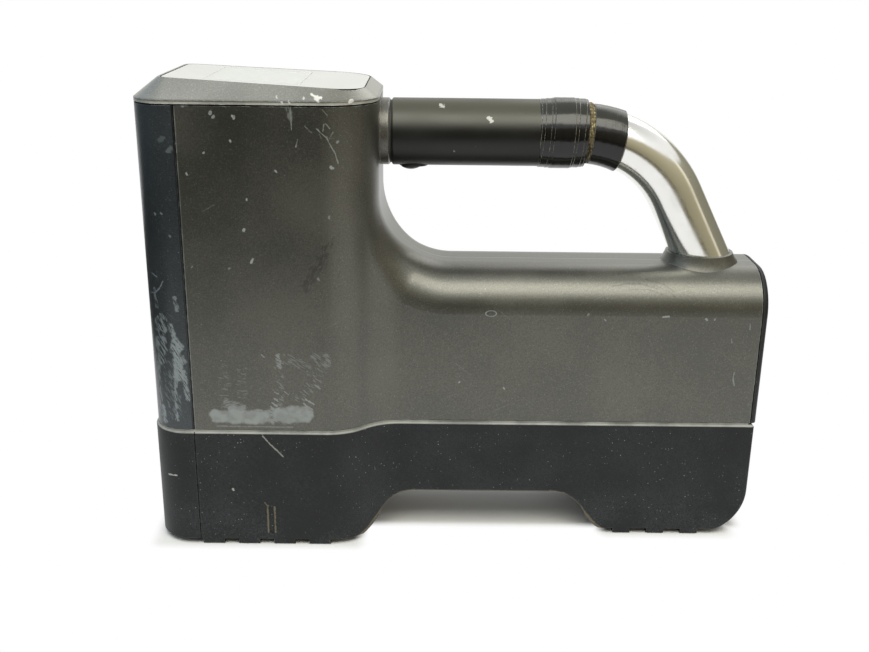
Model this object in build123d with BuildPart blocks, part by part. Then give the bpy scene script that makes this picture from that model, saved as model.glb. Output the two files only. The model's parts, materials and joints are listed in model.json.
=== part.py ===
from build123d import *
import os
from math import atan2, cos, degrees, pi, radians, sin, sqrt, tan

# Overall sizes of the receiver, in millimetres
body_length = 358.0
tower_length = 131.8
tower_width = 104.0
low_body_width = 70.0
low_body_height = 166.0
bezel_seam_height = 260.4
boot_height = 73.8

# Shape of the shell
front_cover_depth = 25.0
front_corner_radius = 20.0
blend_lead = 30.0
blend_run = 42.0
hollow_radius = 42.0
shoulder_radius = 25.0
rear_edge_radius = 3.5
rear_cap_thickness = 4.0
housing_wall = 3.0

# Boot under the shell
boot_proud = 1.2
boot_wall = 3.0
boot_floor = 5.5
boot_lip_chamfer = 1.0
shell_lip_chamfer = 0.8
boot_rear_setback = 1.3
boot_rear_radius = 1.6
heel_radius = 30.0
arch_height = 27.9
arch_front_setback = 110.8
arch_rear_setback = 79.0
arch_slope_run = 42.0
tread_depth = 3.6
tower_lug_setback = 26.4
tower_lug_pitch = 21.2
tower_lug_length = 12.7
tower_lug_count = 4
rear_lug_setback = 81.4
rear_lug_pitch = 20.8
rear_lug_length = 10.4
rear_lug_count = 3
centre_mark_setback = 67.8
centre_mark_width = 3.0
centre_mark_depth = 0.9
centre_mark_low = 7.0
centre_mark_high = 26.0

# Seals between the shells
seal_inset = 0.6
belt_seal_thickness = 0.8
front_seal_thickness = 0.6
rear_seal_thickness = 0.6
rear_seal_width = 2.4
rear_seal_corner = 12.5
bezel_seal_thickness = 0.8

# Display bezel on top of the tower
bezel_proud = 0.1
bezel_lip = 2.0
bezel_slope_run = 13.6
bezel_slope_rise = 10.5
top_tilt = 2.75
bezel_height = 13.8
bezel_deck = 2.4
bezel_hollow_inset = 14.0
panel_margin = 1.0
panel_thickness = 1.5
panel_gap = 0.3
window_setback = 37.8
window_length = 52.0
window_side_margin = 19.0
window_gap = 0.15
view_margin = 3.0
lcd_thickness = 6.0
lcd_margin = 2.0
display_board_margin = 8.0
display_screw_inset = 5.0
display_screw_reach = 4.0
display_post_radius = 3.0
board_thickness = 1.6

# Tubular handle
grip_drop = 19.9
tube_diameter = 31.75
tube_wall = 2.0
tube_insertion = 16.5
bend_setback = 71.0
bend_radius = 65.0
leg_angle = 62.6
handle_clearance = 0.15
collar_length = 5.4
collar_diameter = 38.0
collar_chamfer = 0.8
nut_width = 38.0
nut_length = 5.0
ring_length = 1.0
ring_diameter = 35.6
grip_diameter = 38.1
grip_past_bend = 2.2
grip_edge_radius = 1.2
fit_gap = 0.05
tape_lap = 26.5
tape_length = 27.2
tape_layer = 0.35
tape_turns = 3
tape_end_start = 5.0
tape_end_sweep = 17.0
tape_end_thickness = 1.4
fairing_height = 5.5
fairing_foot_depth = 7.0
fairing_foot_length = 66.0
fairing_foot_width = 50.0
fairing_waist_height = 0.5
fairing_waist_length = 45.0
fairing_waist_width = 38.5
fairing_rim = 1.9
fairing_lean = -0.5
flange_width = 42.0
flange_reach = 32.0
flange_rear_gap = 1.0
flange_inset = 6.0
flange_row = 7.0
flange_screw_y = (8.0, 16.0)
flange_screw_reach = 1.6
flange_thickness = 3.5
flange_drop = 10.5

# Trigger under the grip
trigger_setback = 10.8
trigger_diameter = 11.0
trigger_drop = 2.7
trigger_travel = 2.0
trigger_dome = 1.6
trigger_stem_diameter = 7.0
trigger_guide_gap = 0.2
trigger_bezel_length = 17.0
trigger_bezel_width = 13.6
trigger_bezel_drop = 0.4
trigger_bezel_depth = 2.6
trigger_bezel_offset = 1.6
trigger_bezel_round = 0.8
trigger_tube_gap = 0.3
trigger_pin_gap = 0.4
trigger_flange_diameter = 9.0
trigger_flange_thickness = 1.2
trigger_pin_diameter = 3.0
trigger_spring_diameter = 6.0
trigger_spring_wire = 0.6
trigger_spring_turns = 3
trigger_spring_length = 5.0
switch_size = 12.0
switch_height = 7.0
switch_bracket_thickness = 1.6

# Battery pack in the rear of the low body
battery_length = 112.4
battery_width = 56.0
battery_headroom = 20.0
battery_low = 78.0
battery_corner = 4.0
battery_wall = 1.8
battery_clearance = 0.5
bay_wall = 1.5
bay_front_gap = 2.9
bay_front_wall = 2.0
cell_diameter = 18.4
cell_length = 62.0
cell_pitch = 19.6
cell_columns = 5
cell_rows = 2
contact_width = 6.0
contact_height = 14.0
contact_thickness = 0.3
contact_pitch = 11.0
contact_count = 4
contact_block_thickness = 1.4
contact_pin_diameter = 3.0
contact_pin_gap = 0.2
cap_low_gap = 0.4
cap_spigot = 3.0

# Quarter turn lock in the rear cap
lock_drop = 14.6
lock_diameter = 14.0
lock_thickness = 1.8
lock_recess = 2.4
lock_gap = 0.3
lock_bar_width = 2.6
lock_bar_length = 12.0
lock_bar_proud = 0.5
lock_shaft_diameter = 3.6
lock_shaft_gap = 0.1
lock_cam_thickness = 2.0
lock_cam_length = 8.0
lock_cam_width = 5.4
lock_cam_gap = 0.1
lock_notch_radius = 5.2

# Electronics in the tower
main_board_setback = 29.8
main_board_length = 74.0
main_board_low = 112.0
main_board_height = 110.0
main_board_y = 18.0
standoff_radius = 4.0
standoff_inset = 6.0
board_screw_reach = 5.0
chip_thickness = 1.8
chips = (
    (26.0, 56.0, 18.0, 18.0),
    (50.0, 58.0, 10.0, 14.0),
    (54.0, 28.0, 10.0, 12.0),
    (34.0, 34.0, 12.0, 10.0),
)
shield_length = 34.0
shield_height = 26.0
shield_thickness = 4.0
shield_along = 14.0
shield_up = 78.0
beeper_diameter = 22.0
beeper_thickness = 9.0
beeper_along = 20.0
beeper_up = 18.0
telemetry_base = 8.0
telemetry_diameter = 6.4
telemetry_length = 28.0
telemetry_along = 56.0
telemetry_up = 100.0

# Crossed ferrite antennas low in the tower
rod_diameter = 10.0
rod_length = 84.0
coil_diameter = 15.0
coil_length = 40.0
frame_thickness = 3.0
frame_length = 82.0
frame_width = 58.0
rod_x_y = -12.0
rod_x_height = 45.0
rod_y_offset = 13.0
rod_y_height = 62.0
rod_z_offset = -12.0
rod_z_y = 18.0
saddle_thickness = 6.0
saddle_width = 14.0
saddle_spread = 72.0
saddle_spread_y = 50.0
rod_socket_depth = 11.0

# Infrared window in the front cover
infrared_height = 150.0
infrared_width = 30.0
infrared_tall = 16.0
infrared_corner = 4.0

# Screws
screw_diameter = 4.0
screw_head_diameter = 7.0
screw_head_height = 2.6
small_screw_diameter = 3.0
small_head_diameter = 5.5
small_head_height = 2.0
screw_gap = 0.1
boss_radius = 4.6
post_radius = 6.5
base_screw_spread = 76.0
base_screw_height = 58.0
base_screw_reach = 26.0
low_screw_offset = 13.5
low_screw_spread = 42.0
base_boss_height = 22.0
front_screw_spread = 56.0
front_screw_middle_height = 98.0
front_screw_drop = 35.4
front_screw_low_height = 40.0
front_screw_sink = 2.4
front_screw_reach = 6.0
front_lug_length = 8.0
bezel_screw_setbacks = (29.8, 109.8)
bezel_screw_spread = 66.0
bezel_boss_height = 16.0
bezel_screw_reach = 6.0
web_thickness = 3.0
overrun = 40.0

# Places that follow from the sizes above
boot_front = -body_length / 2
x_front = boot_front + boot_proud
x_rear = body_length / 2
tower_rear = x_front + tower_length
front_seam = x_front + front_cover_depth
rear_seam = x_rear - rear_cap_thickness
cap_face = rear_seam + rear_seal_thickness
boot_rear = x_rear - boot_rear_setback
arch_start = x_front + arch_front_setback
arch_end = x_rear - arch_rear_setback
tower_lug_start = x_front + tower_lug_setback
rear_lug_start = x_rear - rear_lug_setback
centre_mark_x = x_front + centre_mark_setback
rod_y_x = centre_mark_x + rod_y_offset
rod_z_x = centre_mark_x + rod_z_offset
window_front = x_front + window_setback
main_board_front = x_front + main_board_setback
low_screw_x = (arch_start + arch_end) / 2 + low_screw_offset
bezel_screw_x = [x_front + setback for setback in bezel_screw_setbacks]
front_screw_heights = (front_screw_middle_height, bezel_seam_height - front_screw_drop)
half_tower = tower_width / 2
half_low = low_body_width / 2
blend_start = tower_rear - blend_lead
blend_end = blend_start + blend_run
belt_low = boot_height - belt_seal_thickness / 2
belt_high = boot_height + belt_seal_thickness / 2
cover_back = front_seam - front_seal_thickness / 2
shell_front = front_seam + front_seal_thickness / 2
bezel_low = bezel_seam_height + bezel_seal_thickness
lip_top = bezel_low + bezel_lip
top_front_height = bezel_seam_height + bezel_height
rim_front = x_front - bezel_proud
rim_rear = tower_rear + bezel_proud
tube_radius = tube_diameter / 2
grip_radius = grip_diameter / 2
collar_end = tower_rear + collar_length
grip_front = collar_end + ring_length
grip_height = bezel_seam_height - grip_drop
bend_corner = x_rear - bend_setback
bend_start = bend_corner - bend_radius * tan(radians(leg_angle / 2))
leg_way = Vector(cos(radians(leg_angle)), 0, -sin(radians(leg_angle)))
grip_rear = bend_start + grip_past_bend
grip_length = grip_rear - grip_front
tape_start = grip_rear - tape_lap
trigger_x = grip_front + trigger_setback
flange_height = low_body_height - flange_drop
lock_height = low_body_height - lock_drop
tube_start = tower_rear - tube_insertion
fairing_top = low_body_height + fairing_height
fairing_x = bend_corner + (grip_height - fairing_top) / tan(radians(leg_angle))
flange_x = bend_corner + (grip_height - flange_height) / tan(radians(leg_angle))
battery_front = cap_face - battery_length
battery_high = low_body_height - battery_headroom
battery_height = battery_high - battery_low
bay_front = battery_front - bay_front_gap
bay_half_width = battery_width / 2 + battery_clearance
standoff_x = (main_board_front + standoff_inset, main_board_front + main_board_length - standoff_inset)
standoff_z = (main_board_low + standoff_inset, main_board_low + main_board_height - standoff_inset)
base_screw_x = (
    tower_lug_start + tower_lug_pitch + tower_lug_length / 2,
    tower_lug_start + tower_lug_pitch * (tower_lug_count - 1) + tower_lug_length / 2,
)
base_screws_at = [(x, side * base_screw_spread / 2) for x in base_screw_x for side in (-1, 1)]
base_screws_at += [(low_screw_x, side * low_screw_spread / 2) for side in (-1, 1)]
top_plane = Plane(
    origin=(x_front, 0, top_front_height),
    x_dir=(cos(radians(top_tilt)), 0, -sin(radians(top_tilt))),
    z_dir=(sin(radians(top_tilt)), 0, cos(radians(top_tilt))),
)
battery_middle = battery_low + battery_height / 2
bay_low = battery_low - battery_clearance
bay_high = battery_high + battery_clearance
contact_places = [(index - (contact_count - 1) / 2) * contact_pitch for index in range(contact_count)]
lock_cam_back = cap_face - lock_cam_gap - lock_cam_thickness
main_board_back = main_board_y + board_thickness
frame_top = boot_floor + frame_thickness
half_rim = half_tower + bezel_proud
top_slope = tan(radians(top_tilt))
chamfer_slope = bezel_slope_run / bezel_slope_rise
bezel_rise = top_front_height - lip_top + bezel_lip
chamfer_base = chamfer_slope * (top_front_height + x_front * top_slope - lip_top)
top_edge_front = (rim_front + chamfer_base) / (1 + chamfer_slope * top_slope)
top_edge_rear = (rim_rear - chamfer_base) / (1 - chamfer_slope * top_slope)
deck_depth = panel_thickness + bezel_deck
display_board_depth = deck_depth + lcd_thickness
window_rear = window_front + window_length
window_width = tower_width - 2 * window_side_margin
display_screw_y = window_width / 2 - display_screw_inset
lcd_front = window_front - lcd_margin
lcd_rear = window_rear + lcd_margin
display_screws_at = [
    (lcd_rear + display_board_margin / 2, side * display_screw_y) for side in (-1, 1)
]
flange_top = flange_height + flange_thickness
flange_front = flange_x - flange_reach
flange_rear = rear_seam - housing_wall - flange_rear_gap
flange_screws_at = [
    (flange_front + flange_inset + row * flange_row, side * y)
    for row, y in enumerate(flange_screw_y)
    for side in (-1, 1)
]
leg_drop = grip_height - flange_height + tube_diameter
trigger_low = grip_height - grip_radius - trigger_bezel_drop
trigger_tip = grip_height - grip_radius - trigger_drop
trigger_shoulder = grip_height - tube_radius - trigger_travel - trigger_tube_gap
bore_drop = sqrt((tube_radius - tube_wall) ** 2 - (trigger_flange_diameter / 2) ** 2)
trigger_flange_low = grip_height - bore_drop + trigger_guide_gap
trigger_flange_high = trigger_flange_low + trigger_flange_thickness
switch_low = trigger_flange_high + trigger_spring_length
switch_high = switch_low + switch_height
front_screws_high = [(side * front_screw_spread / 2, z) for side in (-1, 1) for z in front_screw_heights]
front_screws_low = [(side * front_screw_spread / 2, front_screw_low_height) for side in (-1, 1)]
lugs = [
    (tower_lug_start + index * tower_lug_pitch, tower_lug_start + index * tower_lug_pitch + tower_lug_length)
    for index in range(tower_lug_count)
]
lugs += [
    (rear_lug_start + index * rear_lug_pitch, rear_lug_start + index * rear_lug_pitch + rear_lug_length)
    for index in range(rear_lug_count)
]
os.makedirs("parts", exist_ok=True)


def save(part, name):
    """Label a finished piece and write it out."""
    part.label = name
    export_step(part, f"parts/{name}.step")


def block(low, high, mode=Mode.ADD):
    """Box between two opposite corners."""
    low, high = Vector(*low), Vector(*high)
    size = high - low
    with Locations((low + high) / 2):
        Box(size.X, size.Y, size.Z, mode=mode)


def rod(start, end, radius, mode=Mode.ADD):
    """Round bar from one point to another."""
    start, end = Vector(*start), Vector(*end)
    with Locations(Plane(origin=start, z_dir=end - start)):
        Cylinder(radius, (end - start).length, align=(Align.CENTER, Align.CENTER, Align.MIN), mode=mode)


def top_height(x):
    """Height of the sloping top face above a place along the length."""
    return top_front_height - (x - x_front) * tan(radians(top_tilt))


def body_plan(inset):
    """Plan of the body, inset evenly: the tower draws in to the low body through two equal arcs."""
    lead = x_front + front_corner_radius
    turn = 2 * atan2(half_tower - half_low, blend_run)
    middle = (
        (blend_start + blend_end) / 2 - inset * sin(turn),
        inset * cos(turn) - (half_tower + half_low) / 2,
    )
    with BuildSketch() as plan:
        with BuildLine():
            front = Line((x_front + inset, 0), (x_front + inset, front_corner_radius - half_tower))
            corner = TangentArc(front @ 1, (lead, inset - half_tower), tangent=(0, -1))
            flank = Line(corner @ 1, (blend_start, inset - half_tower))
            drawing_in = TangentArc(flank @ 1, middle, tangent=(1, 0))
            flattening = TangentArc(middle, (blend_end, inset - half_low), tangent=drawing_in % 1)
            side = Line(flattening @ 1, (x_rear + overrun, inset - half_low))
            Line(side @ 1, (x_rear + overrun, 0))
            mirror(about=Plane.XZ)
        make_face()
    return plan.sketch


def tower_plan(inset):
    """Plan of the tower alone, with the same rounded back corners as the shell below it."""
    whole = body_plan(inset)
    with BuildSketch() as plan:
        add(whole)
        with Locations((tower_rear - inset - tower_length, 0)):
            Rectangle(2 * tower_length, 2 * tower_width, mode=Mode.INTERSECT)
        back_corners = plan.vertices().group_by(Axis.X)[-1]
        fillet(back_corners, shoulder_radius - inset)
    return plan.sketch


def body_form(inset, low, high, x_back, rear_radius):
    """Solid form of the shell: its plan meets its side outline, and the crest between them is rounded."""
    plan = body_plan(inset)
    back = tower_rear - inset
    crown = low_body_height - inset
    radius = hollow_radius + inset
    with BuildPart() as form:
        with BuildSketch(Plane.XY.offset(low)):
            add(plan)
        extrude(amount=high - low)
        with BuildSketch(Plane.XZ):
            with BuildLine():
                Polyline(
                    (back, crown + radius),
                    (back, high),
                    (x_front - overrun, high),
                    (x_front - overrun, low),
                    (x_back, low),
                    (x_back, crown),
                    (back + radius, crown),
                )
                TangentArc((back, crown + radius), (back + radius, crown), tangent=(0, -1))
            make_face()
        extrude(amount=tower_width, both=True, mode=Mode.INTERSECT)
        crest = form.edges().filter_by(
            lambda edge: abs(edge.center().Y) > 1
            and edge.center().Z > crown - 0.1
            and back - 0.1 < edge.center().X < x_back - 0.1
        )
        fillet(crest, shoulder_radius - inset)
        if rear_radius:
            rear_face = form.faces().sort_by(Axis.X)[-1]
            fillet(rear_face.edges().filter_by(lambda edge: edge.center().Z > low + 0.1), rear_radius)
    return form.part


def boot_outline(inset):
    """Side outline of the boot, standing on its two feet with the arch between them."""
    with BuildSketch(Plane.XZ) as outline:
        with BuildLine():
            foot = Line((boot_front - overrun, 0), (arch_start, 0))
            rise = TangentArc(
                foot @ 1, (arch_start + arch_slope_run / 2, arch_height / 2), tangent=(1, 0)
            )
            ease = TangentArc(rise @ 1, (arch_start + arch_slope_run, arch_height), tangent=rise % 1)
            roof = Line(ease @ 1, (arch_end - arch_slope_run, arch_height))
            fall = TangentArc(
                roof @ 1, (arch_end - arch_slope_run / 2, arch_height / 2), tangent=(1, 0)
            )
            settle = TangentArc(fall @ 1, (arch_end, 0), tangent=fall % 1)
            sole = Line(settle @ 1, (boot_rear - heel_radius, 0))
            heel = TangentArc(sole @ 1, (boot_rear, heel_radius), tangent=(1, 0))
            Polyline(
                heel @ 1,
                (boot_rear, boot_height + overrun),
                (boot_front - overrun, boot_height + overrun),
                foot @ 0,
            )
        make_face()
        if inset:
            offset(amount=-inset, kind=Kind.INTERSECTION, mode=Mode.REPLACE)
    return outline.sketch


def boot_form(inset, floor):
    """Solid form of the boot, from its plan and its side outline."""
    plan = body_plan(inset)
    outline = boot_outline(floor)
    with BuildPart() as form:
        with BuildSketch():
            add(plan)
        extrude(amount=belt_low)
        extrude(outline, amount=tower_width, both=True, mode=Mode.INTERSECT)
    return form.part


def top_slab(x_low, x_high, half_width, depth_high, depth_low):
    """Flat piece under the sloping top face, between two depths below it."""
    with BuildPart() as slab:
        block((x_low, -half_width, bezel_low - overrun), (x_high, half_width, top_front_height + overrun))
        split(bisect_by=top_plane.offset(-depth_high), keep=Keep.BOTTOM)
        split(bisect_by=top_plane.offset(-depth_low), keep=Keep.TOP)
    return slab.part


def chamfer_run(x):
    """How far the bezel's chamfer runs in before it meets the sloping top face."""
    return chamfer_slope * (top_height(x) - lip_top)


def panel_plan(gap):
    """Plan of the top panel, inside the edge where the sloping top face meets the bezel's chamfer."""
    front = top_edge_front + panel_margin + gap
    rear = top_edge_rear - panel_margin - gap
    half_front = half_rim - chamfer_run(front) - panel_margin - gap
    half_rear = half_rim - chamfer_run(rear) - panel_margin - gap
    with BuildSketch() as plan:
        with BuildLine():
            Polyline(
                (front, half_front),
                (front, -half_front),
                (rear, -half_rear),
                (rear, half_rear),
                close=True,
            )
        make_face()
        corners = plan.vertices().group_by(Axis.X)
        fillet(corners[-1], shoulder_radius + bezel_proud - chamfer_run(rear) - panel_margin - gap)
        corners = plan.vertices().group_by(Axis.X)
        fillet(corners[0], front_corner_radius + bezel_proud - chamfer_run(front) - panel_margin - gap)
    return plan.sketch


def seal_outline(grow):
    """Outline of the rear seal: round the battery opening and the lock's notch, its top corners rounder."""
    half = bay_half_width + seal_inset + grow
    low = bay_low - seal_inset - grow
    high = lock_height + lock_notch_radius + seal_inset + grow
    with BuildSketch() as outline:
        with Locations((0, (low + high) / 2)):
            Rectangle(2 * half, high - low)
        fillet(outline.vertices().group_by(Axis.Y)[-1], rear_seal_corner + grow)
        fillet(outline.vertices().group_by(Axis.Y)[0], battery_corner + grow)
    return outline.sketch


def under_top(x, y, depth):
    """Point a given depth below the sloping top face."""
    return Vector(x, y, top_height(x)) - top_plane.z_dir * depth


def screw(head, way, reach, thick=True):
    """Cap screw from the outer face of its head along its way, its shank reaching past the head."""
    head, way = Vector(*head), Vector(*way).normalized()
    head_height = screw_head_height if thick else small_head_height
    head_diameter = screw_head_diameter if thick else small_head_diameter
    shank_diameter = screw_diameter if thick else small_screw_diameter
    rod(head, head + way * head_height, head_diameter / 2)
    rod(head + way * head_height, head + way * (head_height + reach), shank_diameter / 2)


def coil(base, radius, wire, length, turns):
    """Open coil spring, each half turn drawn as two arcs that meet in line."""
    base = Vector(*base) + Vector(0, 0, wire / 2 + fit_gap)
    rise = (length - wire - 2 * fit_gap) / turns
    steps = 2 * turns
    places = [
        base + Vector(radius * cos(pi * step), radius * sin(pi * step), rise * step / 2)
        for step in range(steps + 1)
    ]
    ways = [
        Vector(-radius * sin(pi * step), radius * cos(pi * step), rise / (2 * pi)).normalized()
        for step in range(steps + 1)
    ]
    with BuildPart() as spring:
        with BuildLine():
            for step in range(steps):
                chord = places[step + 1] - places[step]
                both = ways[step] + ways[step + 1]
                along = chord.dot(both)
                spare = 4 - both.dot(both)
                reach = (sqrt(along**2 + chord.dot(chord) * spare) - along) / spare
                near = places[step] + ways[step] * reach
                far = places[step + 1] - ways[step + 1] * reach
                joint = (near + far) / 2
                TangentArc(places[step], joint, tangent=ways[step])
                TangentArc(joint, places[step + 1], tangent=far - near)
        with BuildSketch(Plane(origin=places[0], z_dir=ways[0])):
            Circle(wire / 2)
        sweep()
    return spring.part


# Solid forms that the shells are cut from
outer_form = body_form(0, belt_high, bezel_seam_height, x_rear, rear_edge_radius)
inner_form = body_form(
    housing_wall, belt_high - overrun, bezel_seam_height + overrun, rear_seam - housing_wall, 0
)
boot_outer = boot_form(-boot_proud, 0)
boot_inner = boot_form(boot_wall - boot_proud, boot_floor)

# Flared foot that carries the handle's leg on top of the low body
with BuildPart() as fairing:
    with BuildSketch(Plane.XY.offset(low_body_height - fairing_foot_depth)):
        with Locations((fairing_x - fairing_lean, 0)):
            Ellipse(fairing_foot_length / 2, fairing_foot_width / 2)
    with BuildSketch(Plane.XY.offset(low_body_height + fairing_waist_height)):
        with Locations((fairing_x - fairing_lean / 2, 0)):
            Ellipse(fairing_waist_length / 2, fairing_waist_width / 2)
    with BuildSketch(Plane.XY.offset(fairing_top)):
        with Locations((fairing_x, 0)):
            Ellipse(tube_radius / sin(radians(leg_angle)) + fairing_rim, tube_radius + fairing_rim)
    loft()

# Whole upper shell before it is divided, with its lower edge bevelled and its handle holes cut
with BuildPart() as upper_shell:
    add(outer_form)
    chamfer(upper_shell.faces().sort_by(Axis.Z)[0].edges(), shell_lip_chamfer)
    add(fairing.part)
    add(inner_form, mode=Mode.SUBTRACT)
    rod(
        (tower_rear - 2 * housing_wall, 0, grip_height),
        (tower_rear + housing_wall, 0, grip_height),
        tube_radius + handle_clearance,
        Mode.SUBTRACT,
    )
    leg_top = Vector(bend_corner, 0, grip_height) + leg_way * bend_radius
    rod(leg_top, leg_top + leg_way * bend_radius, tube_radius + handle_clearance, Mode.SUBTRACT)

# Left half of the upper shell
with BuildPart() as left_upper_half:
    add(upper_shell.part)
    block((shell_front, -tower_width, 0), (rear_seam, 0, top_front_height), Mode.INTERSECT)
    for x, y in base_screws_at:
        if y < 0:
            wall = half_tower if x < tower_rear else half_low
            rod((x, y, belt_high), (x, y, belt_high + base_boss_height), boss_radius)
            block(
                (x - web_thickness / 2, housing_wall / 2 - wall, belt_high + shell_lip_chamfer),
                (x + web_thickness / 2, y, belt_high + base_boss_height),
            )
            rod(
                (x, y, belt_high - housing_wall),
                (x, y, belt_high + base_boss_height - housing_wall),
                screw_diameter / 2 + screw_gap,
                Mode.SUBTRACT,
            )
    for x in bezel_screw_x:
        y = -bezel_screw_spread / 2
        low = bezel_seam_height - bezel_boss_height
        rod((x, y, low), (x, y, bezel_seam_height), boss_radius)
        block(
            (x - web_thickness / 2, housing_wall / 2 - half_tower, low),
            (x + web_thickness / 2, y, bezel_seam_height),
        )
        rod(
            (x, y, low - housing_wall),
            (x, y, bezel_seam_height + housing_wall),
            screw_diameter / 2 + screw_gap,
            Mode.SUBTRACT,
        )
    for z in front_screw_heights:
        y = -front_screw_spread / 2
        block(
            (shell_front, housing_wall / 2 - half_tower, z - boss_radius),
            (shell_front + front_lug_length, y + boss_radius, z + boss_radius),
        )
        rod(
            (shell_front - housing_wall, y, z),
            (shell_front + front_lug_length + housing_wall, y, z),
            screw_diameter / 2 + screw_gap,
            Mode.SUBTRACT,
        )
    for x, y in flange_screws_at:
        if y < 0:
            crown = low_body_height - housing_wall / 2 - max(0, -y - half_low + shoulder_radius) / 2
            rod((x, y, flange_top), (x, y, crown), boss_radius - screw_gap)
            rod(
                (x, y, flange_top - housing_wall),
                (x, y, flange_top + flange_screw_reach + screw_gap),
                small_screw_diameter / 2 + screw_gap,
                Mode.SUBTRACT,
            )
    block(
        (rear_seam - 2 * housing_wall, -bay_half_width, battery_low - battery_clearance),
        (rear_seam + housing_wall, 0, battery_high + battery_clearance),
        Mode.SUBTRACT,
    )
    rod(
        (rear_seam - 2 * housing_wall, 0, lock_height),
        (rear_seam + housing_wall, 0, lock_height),
        lock_notch_radius,
        Mode.SUBTRACT,
    )
save(left_upper_half.part, "left_upper_half")

# Right half of the upper shell
with BuildPart() as right_upper_half:
    add(left_upper_half.part)
    mirror(about=Plane.XZ, mode=Mode.REPLACE)
save(right_upper_half.part, "right_upper_half")

# Front cover of the tower, screwed on from the front, with the hole for its window
with BuildPart() as front_upper_cover:
    add(upper_shell.part)
    block((boot_front, -tower_width, 0), (cover_back, tower_width, top_front_height), Mode.INTERSECT)
    for y, z in front_screws_high:
        rod((x_front + housing_wall / 2, y, z), (cover_back, y, z), boss_radius)
        rod(
            (boot_front, y, z),
            (x_front + front_screw_sink + screw_head_height, y, z),
            screw_head_diameter / 2 + screw_gap,
            Mode.SUBTRACT,
        )
        rod((x_front, y, z), (front_seam, y, z), screw_diameter / 2 + screw_gap, Mode.SUBTRACT)
    with BuildSketch(Plane.YZ.offset(boot_front)):
        with Locations((0, infrared_height)):
            RectangleRounded(infrared_width, infrared_tall, infrared_corner)
    extrude(amount=front_cover_depth / 2, mode=Mode.SUBTRACT)
save(front_upper_cover.part, "front_upper_cover")

# Window for the infrared port in the front cover
with BuildPart() as infrared_window:
    with BuildSketch(Plane.YZ.offset(x_front)):
        with Locations((0, infrared_height)):
            RectangleRounded(
                infrared_width - 2 * fit_gap, infrared_tall - 2 * fit_gap, infrared_corner - fit_gap
            )
    extrude(amount=housing_wall)
save(infrared_window.part, "infrared_window")

# Whole boot before it is divided: rounded edges, bevelled lip, tread bars under both feet
with BuildPart() as boot:
    add(boot_outer)
    heel_edges = boot.edges().filter_by(Axis.Z).group_by(Axis.X)[-1]
    fillet(heel_edges, boot_rear_radius)
    chamfer(boot.faces().sort_by(Axis.Z)[-1].outer_wire().edges(), boot_lip_chamfer)
    add(boot_inner, mode=Mode.SUBTRACT)
    gap_start = boot_front - overrun
    for lug_start, lug_end in lugs + [(boot_rear + overrun, 0)]:
        block((gap_start, -tower_width, -overrun), (lug_start, tower_width, tread_depth), Mode.SUBTRACT)
        gap_start = lug_end

# Rear part of the boot, with its screw posts and the antenna's centre marks
with BuildPart() as lower_boot:
    add(boot.part)
    block((shell_front, -tower_width, -overrun), (x_rear, tower_width, boot_height), Mode.INTERSECT)
    for x, y in base_screws_at:
        in_tower = x < tower_rear
        wall = half_tower if in_tower else half_low
        floor = tread_depth if in_tower else arch_height + boot_floor / 2
        outward = 1 if y > 0 else -1
        rod((x, y, floor), (x, y, belt_low), post_radius)
        block(
            (x - web_thickness / 2, min(y, outward * wall), floor),
            (x + web_thickness / 2, max(y, outward * wall), belt_low - boot_floor),
        )
        rod((x, y, -overrun), (x, y, base_screw_height), screw_head_diameter / 2 + screw_gap, Mode.SUBTRACT)
        rod((x, y, 0), (x, y, boot_height), screw_diameter / 2 + screw_gap, Mode.SUBTRACT)
    for y, z in front_screws_low:
        outward = 1 if y > 0 else -1
        inner = y - outward * boss_radius
        block(
            (shell_front, min(inner, outward * half_tower), z - boss_radius),
            (shell_front + front_lug_length, max(inner, outward * half_tower), z + boss_radius),
        )
        rod(
            (shell_front - housing_wall, y, z),
            (shell_front + front_lug_length + housing_wall, y, z),
            screw_diameter / 2 + screw_gap,
            Mode.SUBTRACT,
        )
    for side in (-1, 1):
        with BuildSketch(Plane.XZ.offset(-side * (half_tower + boot_proud))):
            with Locations((centre_mark_x, (centre_mark_low + centre_mark_high) / 2)):
                SlotOverall(centre_mark_high - centre_mark_low, centre_mark_width, rotation=90)
        extrude(amount=side * centre_mark_depth, mode=Mode.SUBTRACT)
save(lower_boot.part, "lower_boot")

# Front part of the boot
with BuildPart() as front_lower_cover:
    add(boot.part)
    block((boot_front - overrun, -tower_width, 0), (cover_back, tower_width, boot_height), Mode.INTERSECT)
    for y, z in front_screws_low:
        rod((boot_front + boot_wall / 2, y, z), (cover_back, y, z), boss_radius)
        rod(
            (boot_front - housing_wall, y, z),
            (boot_front + front_screw_sink + screw_head_height, y, z),
            screw_head_diameter / 2 + screw_gap,
            Mode.SUBTRACT,
        )
        rod((boot_front, y, z), (front_seam, y, z), screw_diameter / 2 + screw_gap, Mode.SUBTRACT)
save(front_lower_cover.part, "front_lower_cover")

# Screws that hold the front covers
with BuildPart() as front_cover_screws:
    for y, z in front_screws_high:
        face = x_front + front_screw_sink
        screw((face, y, z), (1, 0, 0), shell_front + front_screw_reach - face - screw_head_height)
    for y, z in front_screws_low:
        face = boot_front + front_screw_sink
        screw((face, y, z), (1, 0, 0), shell_front + front_screw_reach - face - screw_head_height)
save(front_cover_screws.part, "front_cover_screws")

# Screws that draw the boot up to the shell
with BuildPart() as base_screws:
    for x, y in base_screws_at:
        screw((x, y, base_screw_height - screw_head_height), (0, 0, 1), base_screw_reach)
save(base_screws.part, "base_screws")

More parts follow.
